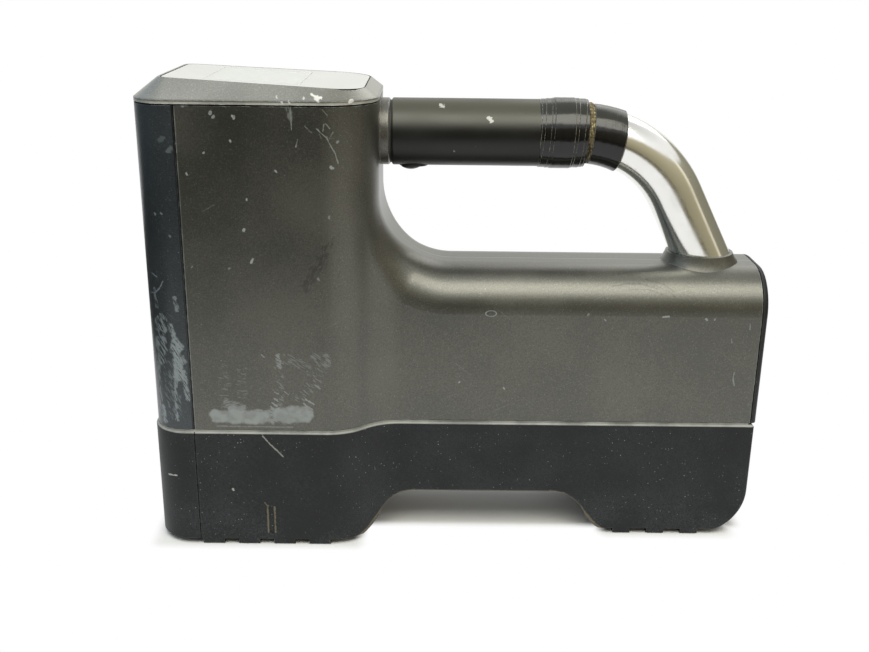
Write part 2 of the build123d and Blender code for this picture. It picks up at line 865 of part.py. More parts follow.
# Seal along the belt line between the shell and the boot
with BuildPart() as belt_seal:
    with BuildSketch(Plane.XY.offset(belt_low)):
        add(body_plan(seal_inset))
    extrude(amount=belt_seal_thickness)
    with BuildSketch(Plane.XY.offset(belt_low)):
        add(body_plan(housing_wall))
        with Locations((rear_seam - housing_wall, 0)):
            Rectangle(body_length, tower_width, align=(Align.MIN, Align.CENTER), mode=Mode.SUBTRACT)
    extrude(amount=belt_seal_thickness, mode=Mode.SUBTRACT)
    block(
        (boot_front, -tower_width, belt_low), (rear_seam - seal_inset, tower_width, belt_high), Mode.INTERSECT
    )
save(belt_seal.part, "belt_seal")

# Seal between the front covers and the rest
with BuildPart() as front_seal:
    add(body_form(seal_inset, belt_high, bezel_seam_height, rear_seam, 0))
    add(inner_form, mode=Mode.SUBTRACT)
    add(boot_form(seal_inset - boot_proud, seal_inset))
    add(boot_inner, mode=Mode.SUBTRACT)
    block(
        (cover_back, -tower_width, tread_depth),
        (shell_front, tower_width, top_front_height),
        Mode.INTERSECT,
    )
save(front_seal.part, "front_seal")

# Seal round the battery opening, under the rear cap
with BuildPart() as rear_seal:
    with BuildSketch(Plane.YZ.offset(rear_seam)):
        add(seal_outline(rear_seal_width))
        add(seal_outline(0), mode=Mode.SUBTRACT)
    extrude(amount=rear_seal_thickness)
save(rear_seal.part, "rear_seal")

# Seal between the tower and the display bezel
with BuildPart() as bezel_seal:
    with BuildSketch(Plane.XY.offset(bezel_seam_height)):
        add(tower_plan(seal_inset))
        add(tower_plan(housing_wall), mode=Mode.SUBTRACT)
    extrude(amount=bezel_seal_thickness)
save(bezel_seal.part, "bezel_seal")

# Room under the display bezel
with BuildPart() as bezel_hollow:
    with BuildSketch(Plane.XY.offset(bezel_low - overrun)):
        add(tower_plan(bezel_hollow_inset))
    extrude(amount=2 * overrun)
    split(bisect_by=top_plane.offset(-deck_depth), keep=Keep.BOTTOM)

# Room for the top panel in the bezel's face
with BuildPart() as panel_recess:
    with BuildSketch(Plane.XY.offset(bezel_low)):
        add(panel_plan(0))
    extrude(amount=overrun)
    split(bisect_by=top_plane.offset(-panel_thickness), keep=Keep.TOP)

# Display bezel that closes the tower
with BuildPart() as display_bezel:
    with BuildSketch(Plane.XY.offset(bezel_low)):
        add(tower_plan(-bezel_proud))
    extrude(amount=bezel_lip)
    extrude(
        display_bezel.faces().sort_by(Axis.Z)[-1],
        amount=bezel_rise,
        taper=degrees(atan2(bezel_slope_run, bezel_slope_rise)),
    )
    split(bisect_by=top_plane, keep=Keep.BOTTOM)
    add(bezel_hollow.part, mode=Mode.SUBTRACT)
    add(panel_recess.part, mode=Mode.SUBTRACT)
    add(
        top_slab(
            window_front + view_margin,
            window_rear - view_margin,
            window_width / 2 - view_margin,
            0,
            deck_depth + lcd_thickness,
        ),
        mode=Mode.SUBTRACT,
    )
    for x in bezel_screw_x:
        for side in (-1, 1):
            y = side * bezel_screw_spread / 2
            rod((x, y, bezel_low), under_top(x, y, panel_thickness + bezel_deck / 2), boss_radius)
            rod(
                (x, y, bezel_low - housing_wall),
                (x, y, bezel_low + bezel_screw_reach + screw_gap),
                screw_diameter / 2 + screw_gap,
                Mode.SUBTRACT,
            )
    for x, y in display_screws_at:
        rod(
            under_top(x, y, deck_depth - bezel_deck / 2),
            under_top(x, y, display_board_depth),
            display_post_radius,
        )
        rod(
            under_top(x, y, display_board_depth + board_thickness),
            under_top(x, y, display_board_depth - display_screw_reach - screw_gap),
            small_screw_diameter / 2 + screw_gap,
            Mode.SUBTRACT,
        )
save(display_bezel.part, "display_bezel")

# Thin panel over the bezel's face, cut out for the window
with BuildPart() as top_panel:
    with BuildSketch(Plane.XY.offset(bezel_low)):
        add(panel_plan(panel_gap))
    extrude(amount=overrun)
    split(bisect_by=top_plane.offset(-panel_thickness), keep=Keep.TOP)
    split(bisect_by=top_plane, keep=Keep.BOTTOM)
    add(
        top_slab(window_front, window_rear, window_width / 2, -panel_thickness, 2 * panel_thickness),
        mode=Mode.SUBTRACT,
    )
save(top_panel.part, "top_panel")

# Clear window over the display
with BuildPart() as display_window:
    add(
        top_slab(
            window_front + window_gap,
            window_rear - window_gap,
            window_width / 2 - window_gap,
            0,
            panel_thickness,
        )
    )
save(display_window.part, "display_window")

# Display under the window
with BuildPart() as lcd_module:
    add(top_slab(lcd_front, lcd_rear, window_width / 2 + lcd_margin, deck_depth, display_board_depth))
save(lcd_module.part, "lcd_module")

# Circuit board that carries the display
with BuildPart() as display_board:
    add(
        top_slab(
            lcd_front,
            lcd_rear + display_board_margin,
            window_width / 2 + lcd_margin,
            display_board_depth,
            display_board_depth + board_thickness,
        )
    )
    for x, y in display_screws_at:
        rod(
            under_top(x, y, display_board_depth - board_thickness),
            under_top(x, y, display_board_depth + 2 * board_thickness),
            small_screw_diameter / 2 + screw_gap,
            Mode.SUBTRACT,
        )
save(display_board.part, "display_board")

# Screws that hold the display board to the bezel
with BuildPart() as display_screws:
    for x, y in display_screws_at:
        screw(
            under_top(x, y, display_board_depth + board_thickness + small_head_height),
            top_plane.z_dir,
            board_thickness + display_screw_reach,
            thick=False,
        )
save(display_screws.part, "display_screws")

# Screws that hold the bezel down, from inside the tower
with BuildPart() as bezel_screws:
    for x in bezel_screw_x:
        for side in (-1, 1):
            screw(
                (x, side * bezel_screw_spread / 2, bezel_seam_height - bezel_boss_height - screw_head_height),
                (0, 0, 1),
                bezel_boss_height + bezel_seal_thickness + bezel_screw_reach,
            )
save(bezel_screws.part, "bezel_screws")

# Bent tube of the handle, its leg cut level where it stands on its flange
with BuildPart() as handle_tube:
    with BuildLine():
        FilletPolyline(
            (tube_start, 0, grip_height),
            (bend_corner, 0, grip_height),
            (bend_corner + leg_drop / tan(radians(leg_angle)), 0, grip_height - leg_drop),
            radius=bend_radius,
        )
    with BuildSketch(Plane.YZ.offset(tube_start)):
        with Locations((0, grip_height)):
            Circle(tube_radius)
            Circle(tube_radius - tube_wall, mode=Mode.SUBTRACT)
    sweep()
    split(bisect_by=Plane.XY.offset(flange_top), keep=Keep.TOP)
    rod(
        (trigger_x, 0, grip_height - tube_diameter),
        (trigger_x, 0, grip_height),
        trigger_stem_diameter / 2 + trigger_guide_gap,
        Mode.SUBTRACT,
    )
save(handle_tube.part, "handle_tube")

# Collar that meets the tower's back
with BuildPart() as handle_collar:
    with BuildSketch(Plane.YZ.offset(tower_rear)):
        with Locations((0, grip_height)):
            Circle(collar_diameter / 2)
            Circle(tube_radius + fit_gap, mode=Mode.SUBTRACT)
    extrude(amount=collar_length)
    rim = handle_collar.edges().filter_by(GeomType.CIRCLE).group_by(Axis.X)[-1].sort_by(SortBy.RADIUS)[-1]
    chamfer(rim, collar_chamfer)
save(handle_collar.part, "handle_collar")

# Thin ring between the collar and the grip
with BuildPart() as grip_end_ring:
    with BuildSketch(Plane.YZ.offset(collar_end)):
        with Locations((0, grip_height)):
            Circle(ring_diameter / 2)
            Circle(tube_radius + fit_gap, mode=Mode.SUBTRACT)
    extrude(amount=ring_length)
save(grip_end_ring.part, "grip_end_ring")

# Nut that clamps the tube inside the tower's wall
with BuildPart() as handle_front_nut:
    with BuildSketch(Plane.YZ.offset(tower_rear - housing_wall)):
        with Locations((0, grip_height)):
            RegularPolygon(nut_width / 2, 6, major_radius=False)
            Circle(tube_radius + fit_gap, mode=Mode.SUBTRACT)
    extrude(amount=-nut_length)
save(handle_front_nut.part, "handle_front_nut")

# Soft grip sleeve, pocketed for the trigger
with BuildPart() as handle_grip:
    with BuildSketch(Plane.YZ.offset(grip_front)):
        with Locations((0, grip_height)):
            Circle(grip_radius)
            Circle(tube_radius + fit_gap, mode=Mode.SUBTRACT)
    extrude(amount=grip_length)
    rounds = handle_grip.edges().filter_by(GeomType.CIRCLE)
    ends = rounds.filter_by(lambda edge: edge.radius > tube_radius + grip_edge_radius)
    fillet(ends, grip_edge_radius)
    with BuildSketch(Plane.XY.offset(trigger_low)):
        with Locations((trigger_x + trigger_bezel_offset, 0)):
            SlotOverall(trigger_bezel_length + 2 * fit_gap, trigger_bezel_width + 2 * fit_gap)
    extrude(amount=trigger_bezel_depth, mode=Mode.SUBTRACT)
    rod(
        (trigger_x, 0, trigger_low - trigger_drop),
        (trigger_x, 0, grip_height),
        trigger_diameter / 2 + trigger_guide_gap,
        Mode.SUBTRACT,
    )
save(handle_grip.part, "handle_grip")

# Plate inside the low body that the handle's leg stands on
with BuildPart() as handle_foot_flange:
    block((flange_front, -flange_width / 2, flange_height), (flange_rear, flange_width / 2, flange_top))
    for x, y in flange_screws_at:
        rod(
            (x, y, flange_height - housing_wall),
            (x, y, flange_top + housing_wall),
            small_screw_diameter / 2 + screw_gap,
            Mode.SUBTRACT,
        )
save(handle_foot_flange.part, "handle_foot_flange")

# Screws that hold the flange up to the shell
with BuildPart() as handle_screws:
    for x, y in flange_screws_at:
        screw(
            (x, y, flange_height - small_head_height),
            (0, 0, 1),
            flange_thickness + flange_screw_reach,
            thick=False,
        )
save(handle_screws.part, "handle_screws")

# Tape wound over the rear end of the grip, each turn a layer thicker
with BuildPart() as tape_wrap_front:
    for turn in range(tape_turns):
        start = tape_start + turn * tape_length / (tape_turns + 1)
        with BuildSketch(Plane.YZ.offset(start)):
            with Locations((0, grip_height)):
                Circle(grip_radius + fit_gap + (turn + 1) * tape_layer)
                Circle(grip_radius + fit_gap, mode=Mode.SUBTRACT)
        extrude(amount=tape_start + tape_length - start)
save(tape_wrap_front.part, "tape_wrap_front")

# Tape wound on the bare tube at the start of its bend
with BuildPart() as tape_wrap_rear:
    with BuildLine(Plane.XZ) as wound_bend:
        CenterArc(
            (bend_start, grip_height - bend_radius), bend_radius, 90 - tape_end_start, -tape_end_sweep
        )
    with BuildSketch(Plane(origin=wound_bend.line @ 0, z_dir=wound_bend.line % 0)):
        Circle(tube_radius + fit_gap + tape_end_thickness)
        Circle(tube_radius + fit_gap, mode=Mode.SUBTRACT)
    sweep()
save(tape_wrap_rear.part, "tape_wrap_rear")

# Surround of the trigger, set into the grip
with BuildPart() as trigger_bezel:
    with BuildSketch(Plane.XY.offset(trigger_low)):
        with Locations((trigger_x + trigger_bezel_offset, 0)):
            SlotOverall(trigger_bezel_length, trigger_bezel_width)
        with Locations((trigger_x, 0)):
            Circle(trigger_diameter / 2 + trigger_guide_gap, mode=Mode.SUBTRACT)
    extrude(amount=trigger_bezel_depth)
    fillet(trigger_bezel.faces().sort_by(Axis.Z)[0].outer_wire().edges(), trigger_bezel_round)
save(trigger_bezel.part, "trigger_bezel")

# Trigger button: domed cap, stem through the tube, flange that stops it and pin that meets the switch
with BuildPart() as trigger_button:
    with BuildSketch(Plane(origin=(trigger_x, 0, 0), x_dir=(1, 0, 0), z_dir=(0, -1, 0))):
        with BuildLine():
            dome_foot = (trigger_diameter / 2, trigger_tip + trigger_dome)
            TangentArc((0, trigger_tip), dome_foot, tangent=(1, 0))
            Polyline(
                dome_foot,
                (trigger_diameter / 2, trigger_shoulder),
                (trigger_stem_diameter / 2, trigger_shoulder),
                (trigger_stem_diameter / 2, trigger_flange_low),
                (trigger_flange_diameter / 2, trigger_flange_low),
                (trigger_flange_diameter / 2, trigger_flange_high),
                (trigger_pin_diameter / 2, trigger_flange_high),
                (trigger_pin_diameter / 2, switch_low - trigger_travel - trigger_pin_gap),
                (0, switch_low - trigger_travel - trigger_pin_gap),
                (0, trigger_tip),
            )
        make_face()
    revolve(axis=Axis((trigger_x, 0, 0), (0, 0, 1)))
save(trigger_button.part, "trigger_button")

# Spring that pushes the trigger out
with BuildPart() as trigger_spring:
    add(
        coil(
            (trigger_x, 0, trigger_flange_high),
            (trigger_spring_diameter - trigger_spring_wire) / 2,
            trigger_spring_wire,
            trigger_spring_length,
            trigger_spring_turns,
        )
    )
save(trigger_spring.part, "trigger_spring")

# Switch that the trigger works
with BuildPart() as trigger_switch:
    block(
        (trigger_x - switch_size / 2, -switch_size / 2, switch_low),
        (trigger_x + switch_size / 2, switch_size / 2, switch_high),
    )
save(trigger_switch.part, "trigger_switch")

# Plate across the tube's bore that the switch hangs from
with BuildPart() as switch_bracket:
    bracket_high = switch_high + switch_bracket_thickness
    bracket_half = sqrt((tube_radius - tube_wall - fit_gap) ** 2 - (bracket_high - grip_height) ** 2)
    block(
        (trigger_x - switch_size / 2, -bracket_half, switch_high),
        (trigger_x + switch_size / 2, bracket_half, bracket_high),
    )
save(switch_bracket.part, "switch_bracket")

# Battery pack's case, open to the rear
with BuildPart() as battery_case:
    with BuildSketch(Plane.YZ.offset(battery_front)):
        with Locations((0, battery_middle)):
            RectangleRounded(battery_width, battery_height, battery_corner)
    extrude(amount=battery_length)
    with BuildSketch(Plane.YZ.offset(battery_front + battery_wall)):
        with Locations((0, battery_middle)):
            RectangleRounded(
                battery_width - 2 * battery_wall,
                battery_height - 2 * battery_wall,
                battery_corner - battery_wall,
            )
    extrude(amount=battery_length, mode=Mode.SUBTRACT)
save(battery_case.part, "battery_case")

# Rear cap on the battery pack, with a spigot into the case and the lock's recess
with BuildPart() as battery_end_cap:
    add(outer_form)
    block(
        (cap_face, -tower_width, belt_high + cap_low_gap),
        (x_rear, tower_width, top_front_height),
        Mode.INTERSECT,
    )
    with BuildSketch(Plane.YZ.offset(cap_face)):
        with Locations((0, battery_middle)):
            RectangleRounded(
                battery_width - 2 * battery_wall - 2 * fit_gap,
                battery_height - 2 * battery_wall - 2 * fit_gap,
                battery_corner - battery_wall - fit_gap,
            )
    extrude(amount=-cap_spigot)
    rod(
        (x_rear - lock_recess, 0, lock_height),
        (x_rear + lock_recess, 0, lock_height),
        lock_diameter / 2 + lock_gap,
        Mode.SUBTRACT,
    )
    rod(
        (rear_seam, 0, lock_height),
        (x_rear, 0, lock_height),
        lock_shaft_diameter / 2 + lock_shaft_gap,
        Mode.SUBTRACT,
    )
save(battery_end_cap.part, "battery_end_cap")

# Cells that stand in the case
with BuildPart() as battery_cells:
    with Locations(((battery_front + battery_wall + cap_face) / 2, 0, battery_low + battery_wall + fit_gap)):
        with GridLocations(cell_pitch, cell_pitch, cell_columns, cell_rows):
            Cylinder(cell_diameter / 2, cell_length, align=(Align.CENTER, Align.CENTER, Align.MIN))
save(battery_cells.part, "battery_cells")

# Contact plates on the case's front
with BuildPart() as battery_contacts:
    for y in contact_places:
        block(
            (battery_front - contact_thickness, y - contact_width / 2, battery_middle - contact_height / 2),
            (battery_front, y + contact_width / 2, battery_middle + contact_height / 2),
        )
save(battery_contacts.part, "battery_contacts")

# Quarter turn lock: a disc with a finger bar, on a shaft through the cap
with BuildPart() as battery_lock:
    lock_base = x_rear - lock_recess + fit_gap
    lock_face = lock_base + lock_thickness
    rod((lock_base, 0, lock_height), (lock_face, 0, lock_height), lock_diameter / 2)
    block(
        (lock_face, -lock_bar_width / 2, lock_height - lock_bar_length / 2),
        (lock_face + lock_bar_proud, lock_bar_width / 2, lock_height + lock_bar_length / 2),
    )
    rod((lock_cam_back, 0, lock_height), (lock_base, 0, lock_height), lock_shaft_diameter / 2)
save(battery_lock.part, "battery_lock")

# Cam on the inner end of the lock's shaft
with BuildPart() as lock_cam:
    block(
        (lock_cam_back, -lock_cam_width / 2, lock_height - lock_cam_length / 2),
        (lock_cam_back + lock_cam_thickness, lock_cam_width / 2, lock_height + lock_cam_length / 2),
    )
    rod(
        (lock_cam_back - lock_cam_thickness, 0, lock_height),
        (cap_face, 0, lock_height),
        lock_shaft_diameter / 2 + fit_gap,
        Mode.SUBTRACT,
    )
save(lock_cam.part, "lock_cam")

# Bay that guides the battery pack, carried by the shell's rear wall
with BuildPart() as battery_bay:
    block(
        (bay_front - bay_front_wall, -bay_half_width - bay_wall, bay_low - bay_wall),
        (rear_seam - housing_wall, bay_half_width + bay_wall, bay_high + bay_wall),
    )
    block((bay_front, -bay_half_width, bay_low), (rear_seam, bay_half_width, bay_high), Mode.SUBTRACT)
save(battery_bay.part, "battery_bay")

# Block with the pins that meet the battery's contacts
with BuildPart() as contact_block:
    block_half = contact_count * contact_pitch / 2
    pin_base = bay_front + contact_block_thickness
    block(
        (bay_front, -block_half, battery_middle - contact_height / 2),
        (pin_base, block_half, battery_middle + contact_height / 2),
    )
    for y in contact_places:
        rod(
            (pin_base, y, battery_middle),
            (battery_front - contact_thickness - contact_pin_gap, y, battery_middle),
            contact_pin_diameter / 2,
        )
save(contact_block.part, "contact_block")

# Main circuit board, upright in the tower
with BuildPart() as main_board:
    block(
        (main_board_front, main_board_y, main_board_low),
        (main_board_front + main_board_length, main_board_back, main_board_low + main_board_height),
    )
    for x in standoff_x:
        for z in standoff_z:
            rod(
                (x, main_board_y - board_thickness, z),
                (x, main_board_back + board_thickness, z),
                small_screw_diameter / 2 + screw_gap,
                Mode.SUBTRACT,
            )
save(main_board.part, "main_board")

# Standoffs that carry the board on the right wall
with BuildPart() as board_standoffs:
    for x in standoff_x:
        for z in standoff_z:
            rod((x, main_board_back, z), (x, half_tower - housing_wall, z), standoff_radius)
            rod(
                (x, main_board_y, z),
                (x, main_board_back + board_screw_reach + screw_gap, z),
                small_screw_diameter / 2 + screw_gap,
                Mode.SUBTRACT,
            )
save(board_standoffs.part, "board_standoffs")

# Screws that hold the board to its standoffs
with BuildPart() as board_screws:
    for x in standoff_x:
        for z in standoff_z:
            screw(
                (x, main_board_y - small_head_height, z),
                (0, 1, 0),
                board_thickness + board_screw_reach,
                thick=False,
            )
save(board_screws.part, "board_screws")

# Chips on the board's near face
with BuildPart() as board_chips:
    for along, up, width, height in chips:
        block(
            (main_board_front + along, main_board_y - chip_thickness, main_board_low + up),
            (main_board_front + along + width, main_board_y, main_board_low + up + height),
        )
save(board_chips.part, "board_chips")

# Shield over the radio
with BuildPart() as radio_shield:
    block(
        (main_board_front + shield_along, main_board_y - shield_thickness, main_board_low + shield_up),
        (
            main_board_front + shield_along + shield_length,
            main_board_y,
            main_board_low + shield_up + shield_height,
        ),
    )
save(radio_shield.part, "radio_shield")

# Beeper low on the board
with BuildPart() as beeper:
    beeper_x = main_board_front + beeper_along
    beeper_z = main_board_low + beeper_up
    rod(
        (beeper_x, main_board_y, beeper_z),
        (beeper_x, main_board_y - beeper_thickness, beeper_z),
        beeper_diameter / 2,
    )
save(beeper.part, "beeper")

# Telemetry antenna standing on its base at the board's upper end
with BuildPart() as telemetry_antenna:
    telemetry_x = main_board_front + telemetry_along
    telemetry_z = main_board_low + telemetry_up
    block(
        (telemetry_x - telemetry_base / 2, main_board_y - telemetry_base, telemetry_z - telemetry_base),
        (telemetry_x + telemetry_base / 2, main_board_y, telemetry_z),
    )
    rod(
        (telemetry_x, main_board_y - telemetry_base / 2, telemetry_z),
        (telemetry_x, main_board_y - telemetry_base / 2, telemetry_z + telemetry_length),
        telemetry_diameter / 2,
    )
save(telemetry_antenna.part, "telemetry_antenna")

# Frame on the boot's floor that holds the three crossed antennas
with BuildPart() as antenna_frame:
    block(
        (centre_mark_x - frame_length / 2, -frame_width / 2, boot_floor),
        (centre_mark_x + frame_length / 2, frame_width / 2, frame_top),
    )
    for side in (-1, 1):
        x = centre_mark_x + side * saddle_spread / 2
        block(
            (x - saddle_thickness / 2, rod_x_y - saddle_width / 2, frame_top),
            (x + saddle_thickness / 2, rod_x_y + saddle_width / 2, rod_x_height),
        )
        y = side * saddle_spread_y / 2
        block(
            (rod_y_x - saddle_width / 2, y - saddle_thickness / 2, frame_top),
            (rod_y_x + saddle_width / 2, y + saddle_thickness / 2, rod_y_height),
        )
    rod(
        (rod_z_x, rod_z_y, frame_top),
        (rod_z_x, rod_z_y, frame_top + rod_socket_depth),
        rod_diameter / 2 + frame_thickness,
    )
    rod(
        (rod_z_x, rod_z_y, frame_top),
        (rod_z_x, rod_z_y, frame_top + 2 * rod_socket_depth),
        rod_diameter / 2 + fit_gap,
        Mode.SUBTRACT,
    )
    rod(
        (centre_mark_x - rod_length, rod_x_y, rod_x_height),
        (centre_mark_x + rod_length, rod_x_y, rod_x_height),
        rod_diameter / 2 + fit_gap,
        Mode.SUBTRACT,
    )
    rod(
        (rod_y_x, -rod_length, rod_y_height),
        (rod_y_x, rod_length, rod_y_height),
        rod_diameter / 2 + fit_gap,
        Mode.SUBTRACT,
    )
save(antenna_frame.part, "antenna_frame")

# Ferrite rods and their coils, one along each axis
antennas = {
    "x": (Vector(centre_mark_x, rod_x_y, rod_x_height), Vector(1, 0, 0)),
    "y": (Vector(rod_y_x, 0, rod_y_height), Vector(0, 1, 0)),
    "z": (Vector(rod_z_x, rod_z_y, frame_top + rod_length / 2), Vector(0, 0, 1)),
}
for axis, (middle, way) in antennas.items():
    with BuildPart() as ferrite_rod:
        rod(middle - way * rod_length / 2, middle + way * rod_length / 2, rod_diameter / 2)
    save(ferrite_rod.part, f"ferrite_rod_{axis}")
    with BuildPart() as antenna_coil:
        rod(middle - way * coil_length / 2, middle + way * coil_length / 2, coil_diameter / 2)
        rod(middle - way * coil_length, middle + way * coil_length, rod_diameter / 2 + fit_gap, Mode.SUBTRACT)
    save(antenna_coil.part, f"antenna_coil_{axis}")
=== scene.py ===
"""Looks of a walkover drill tracking receiver: finishes, wear, wound tape, light and camera."""
import json
import logging
from dataclasses import dataclass
from enum import Enum
from math import cos, radians, sin
from typing import Any

import bpy
import numpy as np
from mathutils import Matrix, Vector


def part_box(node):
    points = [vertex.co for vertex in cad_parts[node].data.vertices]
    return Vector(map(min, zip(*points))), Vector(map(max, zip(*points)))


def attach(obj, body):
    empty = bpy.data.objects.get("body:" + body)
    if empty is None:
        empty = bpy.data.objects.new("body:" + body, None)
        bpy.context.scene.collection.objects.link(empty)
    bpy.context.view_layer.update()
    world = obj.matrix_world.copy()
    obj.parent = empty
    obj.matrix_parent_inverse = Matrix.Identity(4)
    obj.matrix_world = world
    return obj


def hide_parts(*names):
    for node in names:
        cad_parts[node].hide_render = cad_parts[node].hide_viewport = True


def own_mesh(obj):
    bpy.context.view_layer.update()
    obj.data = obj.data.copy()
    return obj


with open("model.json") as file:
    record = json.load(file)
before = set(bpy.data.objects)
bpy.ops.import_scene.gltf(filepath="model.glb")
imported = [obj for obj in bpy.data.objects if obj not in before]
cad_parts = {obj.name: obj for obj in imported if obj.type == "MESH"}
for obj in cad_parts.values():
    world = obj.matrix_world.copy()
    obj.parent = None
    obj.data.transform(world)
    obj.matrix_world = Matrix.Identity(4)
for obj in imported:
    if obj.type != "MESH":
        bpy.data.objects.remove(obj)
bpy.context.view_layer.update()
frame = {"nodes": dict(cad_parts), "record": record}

log = logging.getLogger("receiver")
MM = 0.001
FULL_TURN = 2 * np.pi
Colour = tuple[float, float, float, float]
Box = tuple[float, float, float, float]
Point = tuple[float, float, float]
Place = tuple[float, float]
Span = tuple[float, ...]
Array = np.ndarray
Material = bpy.types.Material
Mesh = bpy.types.Mesh
Piece = bpy.types.Object
Socket = bpy.types.NodeSocket
BLACK: Colour = (0.0, 0.0, 0.0, 1.0)
WHITE: Colour = (1.0, 1.0, 1.0, 1.0)


def linear(code: str) -> Colour:
    """Turn an sRGB hex colour into linear light, by the standard's own curve.

    Args:
        code: Six hex digits after a hash sign.

    Returns:
        Red, green and blue in linear light, and an alpha of one.
    """
    shares = np.array([int(code[at : at + 2], 16) / 255 for at in (1, 3, 5)])
    light = np.where(shares <= 0.04045, shares / 12.92, ((shares + 0.055) / 1.055) ** 2.4)
    return (*(float(share) for share in light), 1.0)


def grid_mesh(
    name: str, points: Array, around: bool = False, along: bool = False, capped: bool = False
) -> Mesh:
    """Skin a grid of points with four-cornered faces that point outwards.

    A shell that is closed both ways encloses a volume, the sum of each face's corner products over six. Where
    that comes out negative, the faces are turned over.

    Args:
        name: The mesh's name.
        points: Rows by columns by three, in metres.
        around: Whether each row's last point joins its first.
        along: Whether the last row joins the first.
        capped: Whether the first and last rows each get a flat end.

    Returns:
        The mesh, smooth shaded.
    """
    rows, columns = points.shape[:2]
    index = np.arange(rows * columns).reshape(rows, columns)
    if around:
        index = np.concatenate([index, index[:, :1]], 1)
    if along:
        index = np.concatenate([index, index[:1]], 0)
    faces = np.stack([index[:-1, :-1], index[:-1, 1:], index[1:, 1:], index[1:, :-1]], -1).reshape(-1, 4)
    flat = points.reshape(-1, 3)
    a, b, c, d = (flat[faces[:, corner]] for corner in range(4))
    volume = (a * np.cross(b, c)).sum() + (a * np.cross(c, d)).sum()
    if around and along and volume < 0.0:
        faces = faces[:, ::-1]
    corners = faces.tolist()
    if capped:
        corners += [index[0, columns - 1 :: -1].tolist(), index[-1, :columns].tolist()]
    mesh = bpy.data.meshes.new(name)
    mesh.from_pydata(flat.tolist(), [], corners)
    mesh.polygons.foreach_set("use_smooth", np.ones(len(corners), bool))
    mesh.update()
    return mesh


class Side(Enum):
    """Which side of the receiver a mark of wear is on."""

    NEAR = -1.0
    FAR = 1.0


@dataclass(frozen=True)
class Stroke:
    """A scratch or chip along a line through points on a side, in millimetres along X and Z."""

    points: tuple[Place, ...]
    width: float
    strength: float = 0.6
    side: Side = Side.NEAR
    tear: float = 1.6


@dataclass(frozen=True)
class Rub:
    """A rubbed band along one line on a side, hatched by fine lines at a slant."""

    start: Place
    end: Place
    width: float
    strength: float = 0.6
    cover: float = 0.5
    slant: float = 40.0
    spacing: float = 2.0
    side: Side = Side.NEAR
    tear: float = 1.6


@dataclass(frozen=True)
class Ring:
    """A thin oval line on a side, as a cup or a cap leaves it."""

    middle: Place
    reach: Place
    width: float
    strength: float = 0.6
    side: Side = Side.NEAR


class Axis(Enum):
    """The direction that a rim's width is measured along."""

    X = "x"
    Z = "z"


@dataclass(frozen=True)
class Rim:
    """A straight rim, a range along one axis in millimetres: rubbed, darkened, or a painted highlight."""

    axis: Axis
    low: float
    high: float
    strength: float


@dataclass(frozen=True)
class Specks:
    """Dots of many sizes in a share of cells: the cells' width and the largest radius in millimetres."""

    spacing: float
    size: float
    share: float = 0.6
    strength: float = 0.6


Mark = Stroke | Rub | Ring


class Nodes:
    """A node tree while it is put together."""

    def __init__(self, tree: bpy.types.NodeTree) -> None:
        """Start from an empty tree."""
        self.tree = tree
        self.tree.nodes.clear()

    def add(self, kind: str, links: dict[Any, Any] | None = None, out: int = 0, **settings: Any) -> Any:
        """Add a node with its settings and links.

        Args:
            kind: The node's type without its common prefix.
            links: Input index or name to a socket or a plain value, among the inputs in use.
            out: Which output in use to return.
            settings: Properties of the node.

        Returns:
            The chosen output socket, or the node where it has none.
        """
        node = self.tree.nodes.new("ShaderNode" + kind)
        for key, value in settings.items():
            setattr(node, key, value)
        used = [socket for socket in node.inputs if socket.enabled]
        for key, value in (links or {}).items():
            self.feed(used[key] if isinstance(key, int) else next(s for s in used if s.name == key), value)
        outputs = [socket for socket in node.outputs if socket.enabled]
        return outputs[out] if outputs else node

    def feed(self, socket: Socket, value: Any) -> None:
        """Link an input to a socket, or set it to a plain value.

        Args:
            socket: The input.
            value: The socket or the plain value.
        """
        if isinstance(value, Socket):
            self.tree.links.new(value, socket)
        else:
            socket.default_value = value

    def maths(self, operation: str, *inputs: Any) -> Socket:
        """Work on numbers, each a socket or a plain value."""
        return self.add("Math", dict(enumerate(inputs)), operation=operation)

    def vectors(self, operation: str, *inputs: Any) -> Socket:
        """Work on vectors, each a socket or a plain value."""
        return self.add("VectorMath", dict(enumerate(inputs)), operation=operation)

    def times(self, first: Any, second: Any) -> Socket:
        """Multiply two numbers, each a socket or a plain value."""
        return self.maths("MULTIPLY", first, second)

    def carry(
        self, value: Socket, low: float = 0.0, high: float = 1.0, least: float = 0.0, most: float = 1.0,
        way: str = "LINEAR",
    ) -> Socket:
        """Carry a value from low and high to least and most, and hold it between those."""
        links = {"Value": value, "From Min": low, "From Max": high, "To Min": least, "To Max": most}
        return self.add("MapRange", links, interpolation_type=way)

    def ramp(self, value: Socket, low: float, high: float, least: float = 0.0, most: float = 1.0) -> Socket:
        """Carry a value likewise, but with soft ends."""
        return self.carry(value, low, high, least, most, "SMOOTHSTEP")

    def mix(self, share: Socket, first: Socket | str, second: Socket | str) -> Socket:
        """Mix two colours, each a socket or a hex code, with a share of the second."""
        colours = [linear(colour) if isinstance(colour, str) else colour for colour in (first, second)]
        return self.add("Mix", {"Factor": share, "A": colours[0], "B": colours[1]}, data_type="RGBA")

    def strongest(self, masks: list[Socket]) -> Socket:
        """Join masks, the strongest winning at each point.

        Args:
            masks: Sockets between zero and one.

        Returns:
            Their greatest value.
        """
        joined = masks[0]
        for mask in masks[1:]:
            joined = self.maths("MAXIMUM", joined, mask)
        return joined

    def seen(self) -> Socket:
        """Find the rays that show the background: from the camera, a mirror or a pane."""
        path = self.add("LightPath").node.outputs
        return self.strongest([path[f"Is {kind} Ray"] for kind in ("Camera", "Glossy", "Transmission")])


